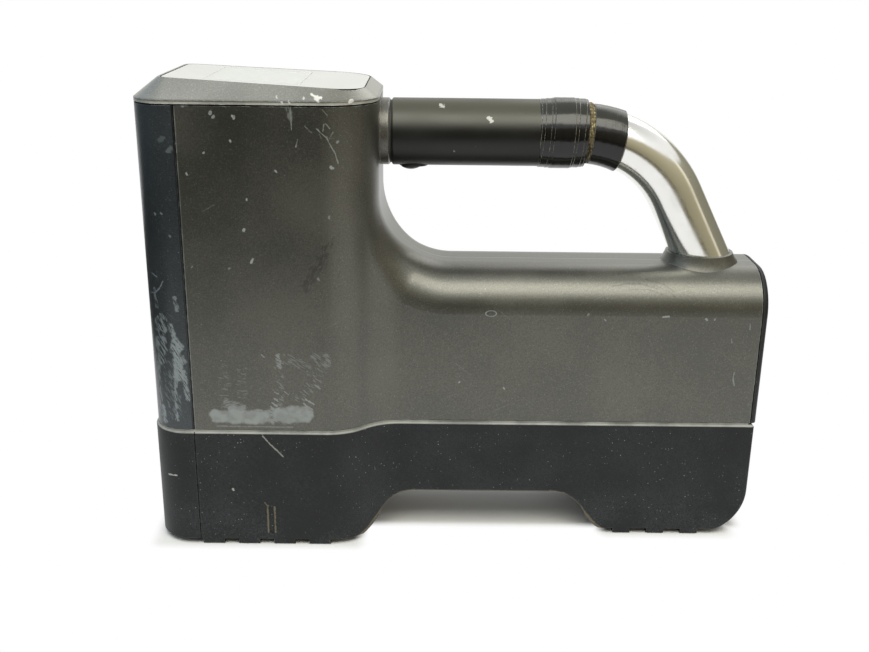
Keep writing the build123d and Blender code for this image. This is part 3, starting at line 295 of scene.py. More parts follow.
class Recipe(Nodes):
    """A material's node tree, on Object coordinates or a piece's own attribute, in millimetres.

    The values in capitals are what all marks, rims and specks have in common. A mark wider than WIDE is a
    wide one, and noise moves its edge by WIDE_TEAR at most. A span is what noise is carried from and, if
    given, to.
    """

    FINE_NOISE = (1.7, 3.0)
    BROAD_NOISE = (5.0, 6.0, 7.0)
    WIDE = 3.0
    WIDE_TEAR = 9.0
    NARROW_TEAR = 3.5
    SOFT_SHARE = 0.18
    SOFT_MOST = 0.9
    PATCHES: Span = (0.66, 0.42, 0.68, 1.0)
    HATCH_LENGTH = 5.0
    HATCH_LINES = 1.8
    HATCH_BARE = 0.72
    HATCH_COVER = 0.42
    HATCH_SOFT = 0.05
    SIDE_FROM = 5.0
    RIM_SOFT = 0.2
    RIM_BREAKS: Span = (0.3, 0.62, 0.55, 1.0)
    SPECK_SOFT = 0.25
    BEVEL_SAMPLES = 6

    def __init__(self, name: str, attribute: str = "") -> None:
        """Start a material with one Principled shader.

        Args:
            name: What the material is and how its surface was made.
            attribute: The piece's own attribute to read places from, or none for Object coordinates.
        """
        self.material = bpy.data.materials.new(name)
        self.material.use_nodes = True
        super().__init__(self.material.node_tree)
        self.shader = self.add("BsdfPrincipled").node
        self.add("OutputMaterial", {"Surface": self.shader.outputs[0]})
        if attribute:
            place = self.add("Attribute", out=1, attribute_name=attribute)
        else:
            place = self.add("TexCoord", out=3)
        self.mm = self.vectors("SCALE", place, 1 / MM)
        self.x, self.y, self.z = self.add("SeparateXYZ", {0: self.mm}).node.outputs

    def shade(self, **inputs: Any) -> None:
        """Set the shader's inputs, each a socket or a plain value, by names with underscores for spaces."""
        for key, value in inputs.items():
            self.feed(self.shader.inputs[key.replace("_", " ")], value)

    def noise(
        self, size: float, detail: float = 2.0, seed: float = 0.0, stretch: Point = (1.0, 1.0, 1.0)
    ) -> Socket:
        """Draw clouds of one size.

        Args:
            size: Width of one cloud in millimetres.
            detail: How many finer layers it has.
            seed: Shift that gives another cloud.
            stretch: How much longer the clouds are along each axis.

        Returns:
            Values about a half.
        """
        scale = tuple(1 / (size * share) for share in stretch)
        place = self.vectors("MULTIPLY_ADD", self.mm, scale, (seed, seed, seed))
        return self.add("TexNoise", {"Vector": place, "Scale": 1.0, "Detail": detail})

    def turned_noise(self, place: Socket, slant: float, scale: Point, seed: float, detail: float) -> Socket:
        """Draw noise in long lines at a slant.

        Args:
            place: Point in millimetres.
            slant: How far the lines lean from X towards Z, in degrees.
            scale: How many clouds there are to a millimetre, along the lines, in Y and across the lines.
            seed: Shift that gives other lines.
            detail: How many finer layers they have.

        Returns:
            Values about a half.
        """
        turned = self.add("VectorRotate", {"Vector": place, "Angle": radians(slant)}, rotation_type="Y_AXIS")
        drawn = self.vectors("MULTIPLY_ADD", turned, scale, (seed, seed, seed))
        return self.add("TexNoise", {"Vector": drawn, "Scale": 1.0, "Detail": detail})

    def gap(self, place: Socket, start: Place, end: Place) -> Socket:
        """Measure how far a place is from a line: from it to the nearest point between the line's ends.

        Args:
            place: Point in millimetres with Y dropped.
            start: The line's start along X and Z.
            end: The line's end along X and Z.

        Returns:
            The distance in millimetres.
        """
        first = Vector((start[0], 0.0, start[1]))
        way = Vector((end[0], 0.0, end[1])) - first
        off = self.vectors("SUBTRACT", place, first)
        along = self.vectors("DOT_PRODUCT", off, way / way.length_squared)
        foot = self.vectors("SCALE", way, self.add("Clamp", {"Value": along}))
        return self.vectors("DISTANCE", off, foot)

    def draw_ring(self, place: Socket, ring: Ring) -> Socket:
        """Draw a ring: one near its oval.

        Args:
            place: Point in millimetres with Y dropped.
            ring: The ring.

        Returns:
            Its mask.
        """
        off = self.vectors("SUBTRACT", place, (ring.middle[0], 0.0, ring.middle[1]))
        far = self.vectors("MULTIPLY", off, (1 / ring.reach[0], 0.0, 1 / ring.reach[1]))
        beside = self.maths("COMPARE", self.vectors("LENGTH", far), 1.0, ring.width / ring.reach[0])
        return self.times(beside, ring.strength)

    def draw(self, place: Socket, mark: Stroke | Rub, fine: Socket, broad: Socket) -> list[Socket]:
        """Draw a stroke or a rub.

        A stroke is one inside half its width of its line, with a ragged edge, and a wide one is patchy too. A
        rub is one where, inside such a band, noise drawn out along its hatching is high enough.

        Args:
            place: Point in millimetres with Y dropped.
            mark: The mark.
            fine: Noise that breaks the edges of narrow marks.
            broad: Noise that breaks the edges of wide marks, and wears them in patches.

        Returns:
            Its masks.
        """
        wide = mark.width > self.WIDE
        tear = min(mark.tear * mark.width, self.WIDE_TEAR if wide else self.NARROW_TEAR)
        border = 0.5 * (tear + mark.width)
        soft = min(self.SOFT_SHARE * mark.width, self.SOFT_MOST)
        points = mark.points if isinstance(mark, Stroke) else (mark.start, mark.end)
        masks = []
        for start, end in zip(points[:-1], points[1:]):
            ragged = self.maths("MULTIPLY_ADD", broad if wide else fine, tear, self.gap(place, start, end))
            masks.append(self.ramp(ragged, border + soft, border - soft, 0.0, mark.strength))
        if isinstance(mark, Rub):
            scale = (1 / self.HATCH_LENGTH, 1.0, self.HATCH_LINES / mark.spacing)
            hatch = self.turned_noise(place, -mark.slant, scale, 0.0, 2.0)
            level = self.HATCH_BARE - self.HATCH_COVER * mark.cover
            lines = self.ramp(hatch, level - self.HATCH_SOFT, level + self.HATCH_SOFT)
            return [self.times(masks[0], lines)]
        if wide:
            patchy = self.ramp(broad, *self.PATCHES)
            return [self.times(mask, patchy) for mask in masks]
        return masks

    def marks(self, marks: tuple[Mark, ...], shift: float = 0.6) -> list[Socket]:
        """Draw marks on both sides, each kept to its own side.

        Args:
            marks: The marks.
            shift: How far noise moves their lines, in millimetres.

        Returns:
            One mask for each side that has marks.
        """
        if not marks:
            return []
        fine, broad = self.noise(*self.FINE_NOISE), self.noise(*self.BROAD_NOISE)
        push = self.vectors("SUBTRACT", fine.node.outputs[1], (0.5, 0.5, 0.5))
        moved = self.vectors("MULTIPLY_ADD", push, (shift, shift, shift), self.mm)
        place = self.vectors("MULTIPLY", moved, (1.0, 0.0, 1.0))
        kept = []
        for side in Side:
            masks = []
            for mark in (mark for mark in marks if mark.side is side):
                ring = isinstance(mark, Ring)
                masks += [self.draw_ring(place, mark)] if ring else self.draw(place, mark, fine, broad)
            if masks:
                there = self.maths("GREATER_THAN", self.times(self.y, side.value), self.SIDE_FROM)
                kept.append(self.times(self.strongest(masks), there))
        return kept

    def rims(self, rims: tuple[Rim, ...], broken: Socket) -> list[Socket]:
        """Find straight rims along their length: rubbed, darkened, or lit lighter as a painted highlight.

        Args:
            rims: The rims.
            broken: Noise that breaks them.

        Returns:
            One mask for each.
        """
        masks = []
        for rim in rims:
            across = getattr(self, rim.axis.value)
            above = self.ramp(across, rim.low - self.RIM_SOFT, rim.low + self.RIM_SOFT, 0.0, rim.strength)
            under = self.ramp(across, rim.high + self.RIM_SOFT, rim.high - self.RIM_SOFT)
            masks.append(self.times(self.times(above, under), self.ramp(broken, *self.RIM_BREAKS)))
        return masks

    def scatter(self, specks: Specks) -> Socket:
        """Scatter specks: one near the middle of a share of the cells.

        Args:
            specks: The specks.

        Returns:
            The mask.
        """
        cells = self.add("TexVoronoi", {"Vector": self.mm, "Scale": 1 / specks.spacing})
        chance = self.add("SeparateColor", {0: cells.node.outputs["Color"]})
        widest = specks.size / specks.spacing
        radius = self.carry(chance, 1.0 - specks.share, 1.0, 0.0, widest)
        inner = self.maths("SUBTRACT", radius, cells)
        return self.ramp(inner, 0.0, widest * self.SPECK_SOFT, 0.0, specks.strength)

    def edges(self, radius: float, low: float, high: float) -> Socket:
        """Find edges: where the normal rounded over a radius leans from the true one.

        Args:
            radius: Rounding radius in millimetres.
            low: Lean at which the edge starts.
            high: Lean at which it is full.

        Returns:
            One on sharp edges and zero on open faces.
        """
        rounded = self.add("Bevel", {"Radius": radius * MM}, samples=self.BEVEL_SAMPLES)
        agree = self.vectors("DOT_PRODUCT", rounded, self.add("NewGeometry", out=1))
        return self.ramp(self.maths("SUBTRACT", 1.0, agree), low, high)

    def bump(self, heights: list[tuple[Socket, float]]) -> None:
        """Raise the surface by heights, each a socket between zero and one times millimetres.

        Args:
            heights: Pairs of a socket and the height it stands for.
        """
        normal = None
        for height, millimetres in heights:
            links = {"Height": height, "Distance": millimetres * MM, "Strength": 1.0}
            if normal:
                links["Normal"] = normal
            normal = self.add("Bump", links)
        self.shade(Normal=normal)


# What the finishes share: the span of clouds, the shares of a roughness, the size of a rim's breaks
CLOUD_SPAN: Span = (0.2, 0.8)
SMOOTHEST = 0.7
DULLEST = 1.4
RIM_BREAK_SIZE = 14.0


@dataclass(frozen=True)
class WornPaint:
    """Sprayed metallic paint under a clear coat, worn by use.

    Aluminium flake gives wide soft highlights, the coat a sharper sheen at low angles; the flake's fine
    sparkle is painted as pale dots, a painted highlight. Knocks show as pale dots, rubs and scratches. The
    flake is drawn about ten times its real size, so that it shows. Sizes and depths are in millimetres.
    """

    name: str
    dark: str
    light: str
    worn: str = "#a4abab"
    roughness: float = 0.39
    metallic: float = 0.85
    spread: float = 0.05
    worn_roughness: float = 0.6
    coat: float = 0.5
    coat_roughness: float = 0.28
    cloud_size: float = 55.0
    tone_span: Span = (0.7, 1.3)
    peel_size: float = 2.2
    peel_depth: float = 0.015
    fleck_size: float = 0.75
    fleck_depth: float = 0.012
    painted_sparkle: Specks = Specks(1.125, 0.45, 0.5, 0.16)
    specks: Specks = Specks(5.0, 0.45, 0.35, 0.36)
    hair_slants_and_seeds: tuple[Place, ...] = ((24.0, 3.0), (-38.0, 91.0))
    hair_scale: Point = (1 / 40.0, 1 / 4.0, 1 / 0.45)
    hair_span: Span = (0.74, 0.82, 0.0, 0.22)
    edge_radius: float = 0.9
    edge_strength: float = 0.8
    edge_lean: Span = (0.04, 0.16)
    chip_size: float = 3.2
    chip_span: Span = (0.38, 0.62)
    seam: float = 0.0
    seam_darkness: float = 0.8
    seam_highlight: float = 0.35
    rims: tuple[Rim, ...] = ()
    dark_rims: tuple[Rim, ...] = ()
    darkening_colour: str = "#1c1b19"
    marks: tuple[Mark, ...] = ()
    dents: tuple[Mark, ...] = ()
    dent_shift: float = 1.6

    def make(self) -> Material:
        """Put the paint together.

        Returns:
            The material.
        """
        paint = Recipe(self.name)
        cloud = paint.noise(self.cloud_size, detail=3.0)
        fleck = paint.noise(self.fleck_size, detail=1.0)
        tone = paint.maths("ADD", cloud, fleck)
        colour = paint.mix(paint.ramp(tone, *self.tone_span), self.dark, self.light)
        # Wear and painted highlights share the worn colour: the sparkle dots, the seam's pale lip and the
        # belt's pale rims are painted highlights
        wear_and_highlights = paint.strongest(self.wear_and_highlight_masks(paint))
        colour = paint.mix(wear_and_highlights, colour, self.worn)
        # Darker: the dents, the dark rims and the top seam's line
        dark = paint.marks(self.dents, self.dent_shift) + paint.rims(self.dark_rims, cloud)
        if self.seam:
            aside = paint.maths("COMPARE", paint.y, 0.5 * self.seam, 0.5 * self.seam)
            dark.append(paint.times(aside, self.seam_darkness))
        if dark:
            colour = paint.mix(paint.strongest(dark), colour, self.darkening_colour)
        rough = paint.ramp(cloud, *CLOUD_SPAN, self.roughness - self.spread, self.roughness + self.spread)
        rough = paint.add("Mix", {"Factor": wear_and_highlights, "A": rough, "B": self.worn_roughness}, data_type="FLOAT")
        metal = paint.carry(wear_and_highlights, least=self.metallic, most=0.0)
        peel = paint.noise(self.peel_size, detail=1.0)
        paint.shade(Base_Color=colour, Roughness=rough, Metallic=metal)
        paint.shade(Coat_Weight=self.coat, Coat_Roughness=self.coat_roughness)
        paint.bump([(peel, self.peel_depth), (fleck, self.fleck_depth)])
        return paint.material

    def wear_and_highlight_masks(self, paint: Recipe) -> list[Socket]:
        """Gather every kind of wear on the paint, and its painted highlights.

        Args:
            paint: The material in the making.

        Returns:
            Masks of the painted sparkle, specks, hair scratches, rubbed edges, rims and marks, and of the
            painted highlight on the seam's lip.
        """
        masks = [paint.scatter(self.painted_sparkle), paint.scatter(self.specks)]
        for slant, seed in self.hair_slants_and_seeds:
            hairs = paint.turned_noise(paint.mm, slant, self.hair_scale, seed, detail=1.0)
            masks.append(paint.ramp(hairs, *self.hair_span))
        edge = paint.edges(self.edge_radius, *self.edge_lean)
        rubbed = paint.times(edge, paint.noise(self.chip_size, detail=4.0))
        masks.append(paint.ramp(rubbed, *self.chip_span, 0.0, self.edge_strength))
        # Painted highlight: a pale band on the near side of the top seam, for its edge catching the light
        if self.seam:
            lip = paint.maths("COMPARE", paint.y, -self.seam, self.seam)
            masks.append(paint.times(lip, self.seam_highlight))
        masks += paint.rims(self.rims, paint.noise(RIM_BREAK_SIZE, detail=4.0))
        return masks + paint.marks(self.marks)


@dataclass(frozen=True)
class Moulded:
    """Moulded plastic or rubber with an eroded grain.

    The grain breaks up the gloss, dust sits in it as pale specks and as a thin film low down, the top may
    carry a painted highlight that lightens it above a height, and edges are rubbed lighter. Rims are lit
    lighter as a painted highlight. Sizes, depths and heights are in millimetres.
    """

    name: str
    colour: str
    tone: str
    roughness: float = 0.5
    grain: float = 0.8
    depth: float = 0.03
    specular: float = 0.5
    dust: str = "#a9a9a4"
    specks: Specks = Specks(6.0, 0.3)
    dust_span: Span = (0.4, 0.6, 0.3, 1.0)
    spread: float = 0.07
    cloud_size: float = 30.0
    tone_span: Span = (0.12, 0.42)
    edge_colour: str = "#7a7a74"
    edge_radius: float = 0.8
    edge_share: float = 0.0
    edge_lean: Span = (0.04, 0.2)
    edge_size: float = 2.6
    edge_span: Span = (0.3, 0.6)
    film: str = ""
    film_height: float = 40.0
    film_span: Span = (0.2, 0.4)
    painted_top_sheen: str = ""
    sheen_height: float = 0.0
    sheen_depth: float = 5.0
    stain_and_highlight_colour: str = "#8d8368"
    rim_highlight_colour: str = "#cdcec8"
    rims: tuple[Rim, ...] = ()
    marks: tuple[Mark, ...] = ()
    stains_and_highlights: tuple[Mark, ...] = ()
    attribute: str = ""

    def make(self) -> Material:
        """Put the moulding together.

        Returns:
            The material.
        """
        body = Recipe(self.name, self.attribute)
        cloud = body.noise(self.cloud_size, detail=4.0)
        grain = body.noise(self.grain)
        share = body.times(cloud, grain)
        colour = body.mix(body.ramp(share, *self.tone_span), self.colour, self.tone)
        if self.film:
            low = body.ramp(body.z, self.film_height, 0.0)
            colour = body.mix(body.times(body.ramp(share, *self.film_span), low), colour, self.film)
        # Painted highlight: lighter above a height, for the light that falls on the top
        if self.painted_top_sheen:
            high = body.ramp(body.z, self.sheen_height, self.sheen_height + self.sheen_depth)
            colour = body.mix(high, colour, self.painted_top_sheen)
        gathered = body.times(body.scatter(self.specks), body.ramp(cloud, *self.dust_span))
        colour = body.mix(body.strongest([gathered, *body.marks(self.marks)]), colour, self.dust)
        if self.edge_share:
            edge = body.edges(self.edge_radius, *self.edge_lean)
            worn = body.times(edge, body.noise(self.edge_size, detail=4.0))
            worn = body.ramp(worn, *self.edge_span, 0.0, self.edge_share)
            colour = body.mix(worn, colour, self.edge_colour)
        # Stains, and painted highlights along edges, in one colour
        if self.stains_and_highlights:
            colour = body.mix(body.strongest(body.marks(self.stains_and_highlights)), colour, self.stain_and_highlight_colour)
        # Painted highlight: the rims are lighter, for a lip that catches the light and for a recess lit over
        # its shade
        if self.rims:
            rubbed = body.rims(self.rims, body.noise(RIM_BREAK_SIZE, detail=4.0))
            colour = body.mix(body.strongest(rubbed), colour, self.rim_highlight_colour)
        rough = body.ramp(cloud, *CLOUD_SPAN, self.roughness - self.spread, self.roughness + self.spread)
        body.shade(Base_Color=colour, Roughness=rough, Specular_IOR_Level=self.specular)
        body.bump([(grain, self.depth)])
        return body.material


@dataclass(frozen=True)
class WoundVinyl:
    """Stretched vinyl tape: black and glossy, with a painted highlight that lightens its top.

    It is drawn into fine lines along its length, and its cut edges are pale: dust, and a painted glint of
    light along them. Sizes and depths are in millimetres.
    """

    name: str
    colour: str
    edge: str
    painted_top_sheen: str = "#2a2a24"
    sheen_height: float = 6.0
    sheen_depth: float = 5.0
    roughness: float = 0.16
    specular: float = 0.52
    line: float = 0.55
    line_stretch: Point = (1.0, 16.0, 16.0)
    line_span: Span = (0.3, 0.7)
    line_depth: float = 0.02
    dust_size: float = 1.3
    dust_span: Span = (0.2, 0.6)

    def make(self) -> Material:
        """Put the tape together, on the piece's own unbent places and the mask of its edges.

        Returns:
            The material.
        """
        tape = Recipe(self.name, "unbent")
        lines = tape.noise(self.line, stretch=self.line_stretch)
        lip = tape.add("Attribute", out=2, attribute_name="lip")
        dust_and_glint = tape.times(lip, tape.noise(self.dust_size, detail=3.0))
        # Painted highlight: lighter above a height, for the light that falls on the top
        high = tape.ramp(tape.z, self.sheen_height, self.sheen_height + self.sheen_depth)
        colour = tape.mix(high, self.colour, self.painted_top_sheen)
        # Pale along the tape's edges: dust, and a painted glint of light on them
        colour = tape.mix(tape.ramp(dust_and_glint, *self.dust_span), colour, self.edge)
        rough = tape.ramp(lines, *self.line_span, self.roughness * SMOOTHEST, self.roughness * DULLEST)
        tape.shade(Base_Color=colour, Roughness=rough, Specular_IOR_Level=self.specular)
        tape.bump([(lines, self.line_depth)])
        return tape.material


@dataclass(frozen=True)
class Metal:
    """Bare metal with the fine lines of its making.

    The lines widen its reflections, handling dulls it in clouds, and small nicks catch the light. Sizes are
    in millimetres.
    """

    name: str
    colour: str
    tone: str
    roughness: float = 0.3
    line: Point = (8.0, 0.4, 0.4)
    depth: float = 0.004
    cloud_size: float = 12.0
    dull_span: Span = (0.0, 0.5)
    nick_colour: str = "#4a4a47"
    nicks: Specks = Specks(4.0, 0.4, 0.3, 0.5)

    def make(self) -> Material:
        """Put the metal together.

        Returns:
            The material.
        """
        metal = Recipe(self.name)
        cloud = metal.noise(self.cloud_size, detail=5.0)
        lines = metal.noise(1.0, detail=3.0, stretch=self.line)
        colour = metal.mix(cloud, self.colour, self.tone)
        colour = metal.mix(metal.scatter(self.nicks), colour, self.nick_colour)
        dull = metal.times(cloud, lines)
        rough = metal.ramp(dull, *self.dull_span, self.roughness * SMOOTHEST, self.roughness * DULLEST)
        metal.shade(Base_Color=colour, Roughness=rough, Metallic=1.0)
        metal.bump([(lines, self.depth)])
        return metal.material


@dataclass(frozen=True)
class Glass:
    """Cast acrylic window with a hard coat: clear with a milky tint, hazed in long arcs by wiping."""

    name: str
    colour: str
    haze: float = 0.14
    polish: float = 0.04
    clear: float = 0.3
    bend: float = 1.49
    wipe_stretch: Point = (24.0, 0.7, 1.0)
    wipe_span: Span = (0.45, 0.8)
    wipe_depth: float = 0.001

    def make(self) -> Material:
        """Put the window together.

        Returns:
            The material.
        """
        pane = Recipe(self.name)
        wipes = pane.noise(1.0, detail=4.0, stretch=self.wipe_stretch)
        rough = pane.ramp(wipes, *self.wipe_span, self.polish, self.haze)
        pane.shade(Base_Color=linear(self.colour), Roughness=rough)
        pane.shade(IOR=self.bend, Transmission_Weight=self.clear)
        pane.bump([(wipes, self.wipe_depth)])
        return pane.material


CHIP_LEAN = 3.1


def chips(*rows: Span, side: Side = Side.NEAR) -> list[Stroke]:
    """Make small chips: strokes a little longer than they are wide, which lean by their places.

    Args:
        rows: X, Z, width and strength of each chip.
        side: The side that they are on.

    Returns:
        The chips.
    """
    made = []
    for x, z, width, strength in rows:
        tip = (x + 0.5 * width * sin(x * CHIP_LEAN + z), z + 0.5 * width)
        made.append(Stroke(((x, z), tip), width, strength, side))
    return made


SHELL_MARKS: tuple[Mark, ...] = (
    Stroke(((-139.5, 83.4), (-128.0, 83.2), (-113.0, 82.4)), 8.2, 0.66, tear=0.5),
    Stroke(((-131.0, 87.0), (-124.0, 88.8)), 4.0, 0.5),
    Stroke(((-101.0, 83.8), (-95.0, 84.8), (-88.6, 84.8)), 11.0, 0.64, tear=0.45),
    Rub((-115.0, 83.6), (-99.0, 82.8), 9.0, 0.5, 0.72, 24.0, 1.6),
    Rub((-102.8, 120.6), (-101.8, 114.2), 2.9, 0.5, 0.66, 38.0, 1.3),
    Rub((-102.4, 114.0), (-103.6, 92.0), 5.0, 0.3, 0.34, 40.0, 2.0),
    Rub((-97.5, 118.8), (-87.5, 115.6), 6.5, 0.3, 0.42, 32.0, 1.6),
    Rub((-82.6, 120.9), (-79.6, 116.8), 4.6, 0.32, 0.52, 35.0, 1.4),
    Rub((-74.8, 120.8), (-74.4, 116.4), 4.2, 0.3, 0.54, 35.0, 1.4),
    Rub((-78.0, 113.4), (-90.0, 95.0), 7.0, 0.3, 0.36, 40.0, 1.7),
    Rub((-133.4, 112.6), (-134.6, 89.6), 6.0, 0.22, 0.36, 6.0, 1.8),
    Rub((-124.3, 112.6), (-123.6, 96.6), 5.0, 0.24, 0.36, 6.0, 1.8),
    Rub((-133.0, 91.0), (-124.0, 89.6), 5.0, 0.36, 0.6, -20.0, 1.6),
    Stroke(((-87.8, 94.2), (-83.0, 91.3)), 0.9, 0.6),
    Stroke(((-88.9, 91.6), (-84.1, 88.0)), 1.0, 0.55),
    Stroke(((-107.8, 89.5), (-102.6, 84.0)), 0.8, 0.55),
    Stroke(((-107.1, 92.0), (-104.5, 89.9)), 1.0, 0.55),
    Stroke(((-105.6, 94.6), (-103.7, 93.1)), 0.9, 0.5),
    Stroke(((-105.2, 98.6), (-103.3, 97.5)), 0.9, 0.5),
    Stroke(((-99.7, 99.0), (-97.4, 97.1)), 0.7, 0.5),
    Stroke(((-81.9, 103.0), (-79.3, 101.1)), 0.8, 0.45),
    Stroke(((-112.0, 121.4), (-110.6, 120.0)), 0.8, 0.5),
    Rub((-92.2, 260.4), (-91.4, 254.8), 2.6, 0.36, 0.75, 84.0, 1.2),
    Stroke(((-91.3, 259.6), (-91.1, 254.6), (-90.9, 248.2)), 0.55, 0.5),
    Stroke(((-87.8, 243.3), (-89.0, 239.4)), 0.6, 0.5),
    Stroke(((-74.5, 259.2), (-71.9, 256.2)), 0.5, 0.35),
    Stroke(((-73.8, 251.4), (-74.3, 247.9)), 0.6, 0.45),
    Stroke(((-72.9, 251.8), (-70.8, 249.2)), 0.5, 0.4),
    Stroke(((-77.8, 249.2), (-72.6, 244.4), (-70.1, 239.6), (-68.0, 235.6), (-66.8, 230.7)), 0.6, 0.45),
    Stroke(((-76.1, 246.5), (-75.3, 244.2)), 0.5, 0.35),
    Stroke(((-69.1, 247.5), (-70.9, 244.0)), 0.5, 0.35),
    Stroke(((-83.9, 250.4), (-80.4, 247.0)), 0.7, 0.25),
    Stroke(((-139.7, 204.4), (-134.1, 207.6)), 0.5, 0.25),
    Stroke(((-115.5, 175.3), (-114.4, 177.5)), 1.0, 0.75),
    Stroke(((-140.0, 76.9), (-96.0, 76.7)), 0.7, 0.3),
    *chips(
        (-147.3, 260.2, 1.4, 0.5), (-133.4, 256.5, 1.4, 0.6), (-132.2, 254.6, 1.1, 0.6),
        (-120.9, 254.1, 1.7, 0.7), (-123.4, 242.0, 1.0, 0.7), (-138.1, 235.5, 1.1, 0.6),
        (-147.4, 223.9, 1.4, 0.7), (-99.8, 226.0, 1.1, 0.7), (-116.4, 210.6, 1.1, 0.7),
        (-118.9, 193.5, 1.3, 0.7), (-127.9, 171.7, 1.0, 0.5), (-148.2, 172.4, 1.1, 0.5),
        (-67.0, 241.8, 1.1, 0.5), (-69.9, 228.3, 1.5, 0.7), (-78.4, 166.0, 1.2, 0.5),
        (-71.9, 200.9, 1.4, 0.5),
    ),
    Ring((18.4, 141.8), (3.1, 1.7), 0.34, 0.6),
    Stroke(((117.8, 141.0), (120.8, 141.1)), 0.9, 0.7),
    Stroke(((162.3, 107.0), (162.0, 102.3), (163.2, 98.7)), 0.6, 0.45),
    Stroke(((168.4, 137.2), (168.6, 133.8)), 0.5, 0.4),
    Stroke(((158.6, 128.0), (159.0, 125.6)), 0.6, 0.4),
    *chips(
        (27.7, 95.3, 1.1, 0.7), (0.8, 98.9, 0.9, 0.7), (84.7, 138.6, 1.0, 0.5), (74.3, 141.6, 1.0, 0.4),
        (143.2, 139.2, 1.2, 0.6), (147.7, 139.3, 1.0, 0.5),
    ),
    Stroke(((60.0, 92.0), (84.0, 94.6), (112.0, 95.2)), 0.7, 0.4, Side.FAR),
    Stroke(((71.0, 89.6), (96.0, 91.0)), 0.5, 0.35, Side.FAR),
    Stroke(((-128.0, 122.0), (-111.0, 131.0), (-96.0, 136.0)), 0.8, 0.4, Side.FAR),
    Stroke(((-121.0, 121.0), (-104.0, 129.0)), 0.5, 0.3, Side.FAR),
    Stroke(((-96.0, 79.4), (-80.0, 78.6), (-58.0, 79.0)), 0.9, 0.4, Side.FAR),
    Stroke(((-104.0, 236.0), (-88.0, 214.0), (-84.0, 196.0)), 0.6, 0.4, Side.FAR),
    Stroke(((20.0, 128.0), (46.0, 121.0)), 0.6, 0.4, Side.FAR),
    *chips(
        (-120.0, 221.0, 1.6, 0.7), (132.0, 118.0, 1.3, 0.6), (-62.0, 168.0, 1.2, 0.6), side=Side.FAR,
    ),
)
COVER_MARKS: tuple[Mark, ...] = (
    Rub((-167.8, 141.0), (-170.2, 116.0), 6.0, 0.62, 0.5, 62.0, 1.7),
    Rub((-172.0, 128.0), (-172.8, 82.0), 3.0, 0.5, 0.5, 84.0, 1.6),
    Rub((-162.4, 138.0), (-159.8, 122.6), 3.6, 0.72, 0.68, 62.0, 1.4),
    Rub((-160.0, 125.0), (-158.6, 106.0), 5.6, 0.76, 0.72, 62.0, 1.4),
    Rub((-161.6, 110.0), (-162.6, 80.0), 2.0, 0.62, 0.66, 78.0, 1.4),
    Rub((-156.8, 110.0), (-155.2, 94.0), 2.8, 0.7, 0.66, 60.0, 1.3),
    Rub((-164.6, 112.0), (-164.0, 84.0), 8.0, 0.34, 0.4, 62.0, 1.6),
    Rub((-171.0, 86.0), (-170.6, 78.6), 3.2, 0.74, 0.62, 60.0, 1.6),
    Rub((-158.8, 155.0), (-158.2, 147.0), 2.0, 0.55, 0.66, 70.0, 1.2),
    Rub((-170.8, 158.6), (-170.4, 148.0), 1.8, 0.5, 0.6, 76.0, 1.6),
    Stroke(((-172.1, 167.3), (-168.6, 165.7)), 0.6, 0.5),
    Stroke(((-173.4, 155.4), (-170.6, 156.3), (-167.3, 159.7), (-165.1, 163.9)), 0.7, 0.55),
    *chips(
        (-156.9, 236.6, 2.4, 0.3), (-160.8, 242.0, 2.6, 0.22), (-166.7, 201.7, 1.1, 0.5),
        (-162.9, 202.1, 1.0, 0.5), (-158.9, 189.6, 1.0, 0.5),
    ),
    Stroke(((-164.0, 118.0), (-166.4, 92.0)), 0.8, 0.45, Side.FAR),
)
BEZEL_MARKS: tuple[Mark, ...] = (
    Stroke(((-80.4, 266.7), (-78.2, 265.4), (-75.0, 264.9)), 1.3, 1.0),
    Stroke(((-78.2, 265.2), (-76.4, 263.4)), 1.7, 0.9),
    *chips(
        (-60.3, 262.6, 1.3, 0.9), (-59.0, 263.3, 1.1, 0.8), (-95.2, 262.4, 1.0, 0.8),
        (-91.3, 262.4, 1.3, 0.8), (-98.2, 264.8, 0.9, 0.6), (-84.3, 264.4, 0.9, 0.6),
    ),
)
SHELL_DENTS: tuple[Mark, ...] = (
    Stroke(((88.0, 157.0), (97.0, 158.6), (106.0, 158.4), (114.0, 156.4)), 0.7, 0.3),
    Stroke(((98.0, 155.6), (108.0, 156.0), (118.0, 153.4)), 0.6, 0.28),
    Stroke(((108.0, 160.6), (118.0, 158.6), (124.0, 154.6)), 0.7, 0.26),
    Stroke(((112.0, 158.0), (121.0, 155.0), (125.0, 151.6)), 0.6, 0.24),
    Rub((-71.6, 187.0), (-85.6, 161.0), 5.5, 0.3, 0.6, -60.0, 2.4),
)
ARCH_EDGE = ((-61.0, 1.6), (-53.0, 6.4), (-46.6, 14.4), (-40.4, 22.2), (-33.4, 27.0), (-25.0, 28.5))
ARCH_REAR = ((58.0, 28.5), (66.0, 27.0), (73.0, 22.2), (79.4, 14.4), (86.0, 6.4), (92.0, 1.8))
BOOT_STAINS_AND_HIGHLIGHTS: tuple[Mark, ...] = (
    Stroke(((-112.1, 8.0), (-112.1, 24.6)), 0.9, 0.5),
    Stroke(((-107.9, 8.0), (-107.9, 25.2)), 0.9, 0.45),
    Stroke(((-113.6, 28.0), (-111.6, 25.2)), 0.8, 0.4),
    # Painted highlights: pale lines along the arch's rounded edges and its roof's edge, for light along those
    # edges
    Stroke(ARCH_EDGE, 1.5, 0.4, tear=0.5),
    Stroke(ARCH_REAR, 1.8, 0.45, tear=0.5),
    Stroke(((-25.0, 28.6), (58.0, 28.6)), 0.8, 0.3, tear=0.5),
)
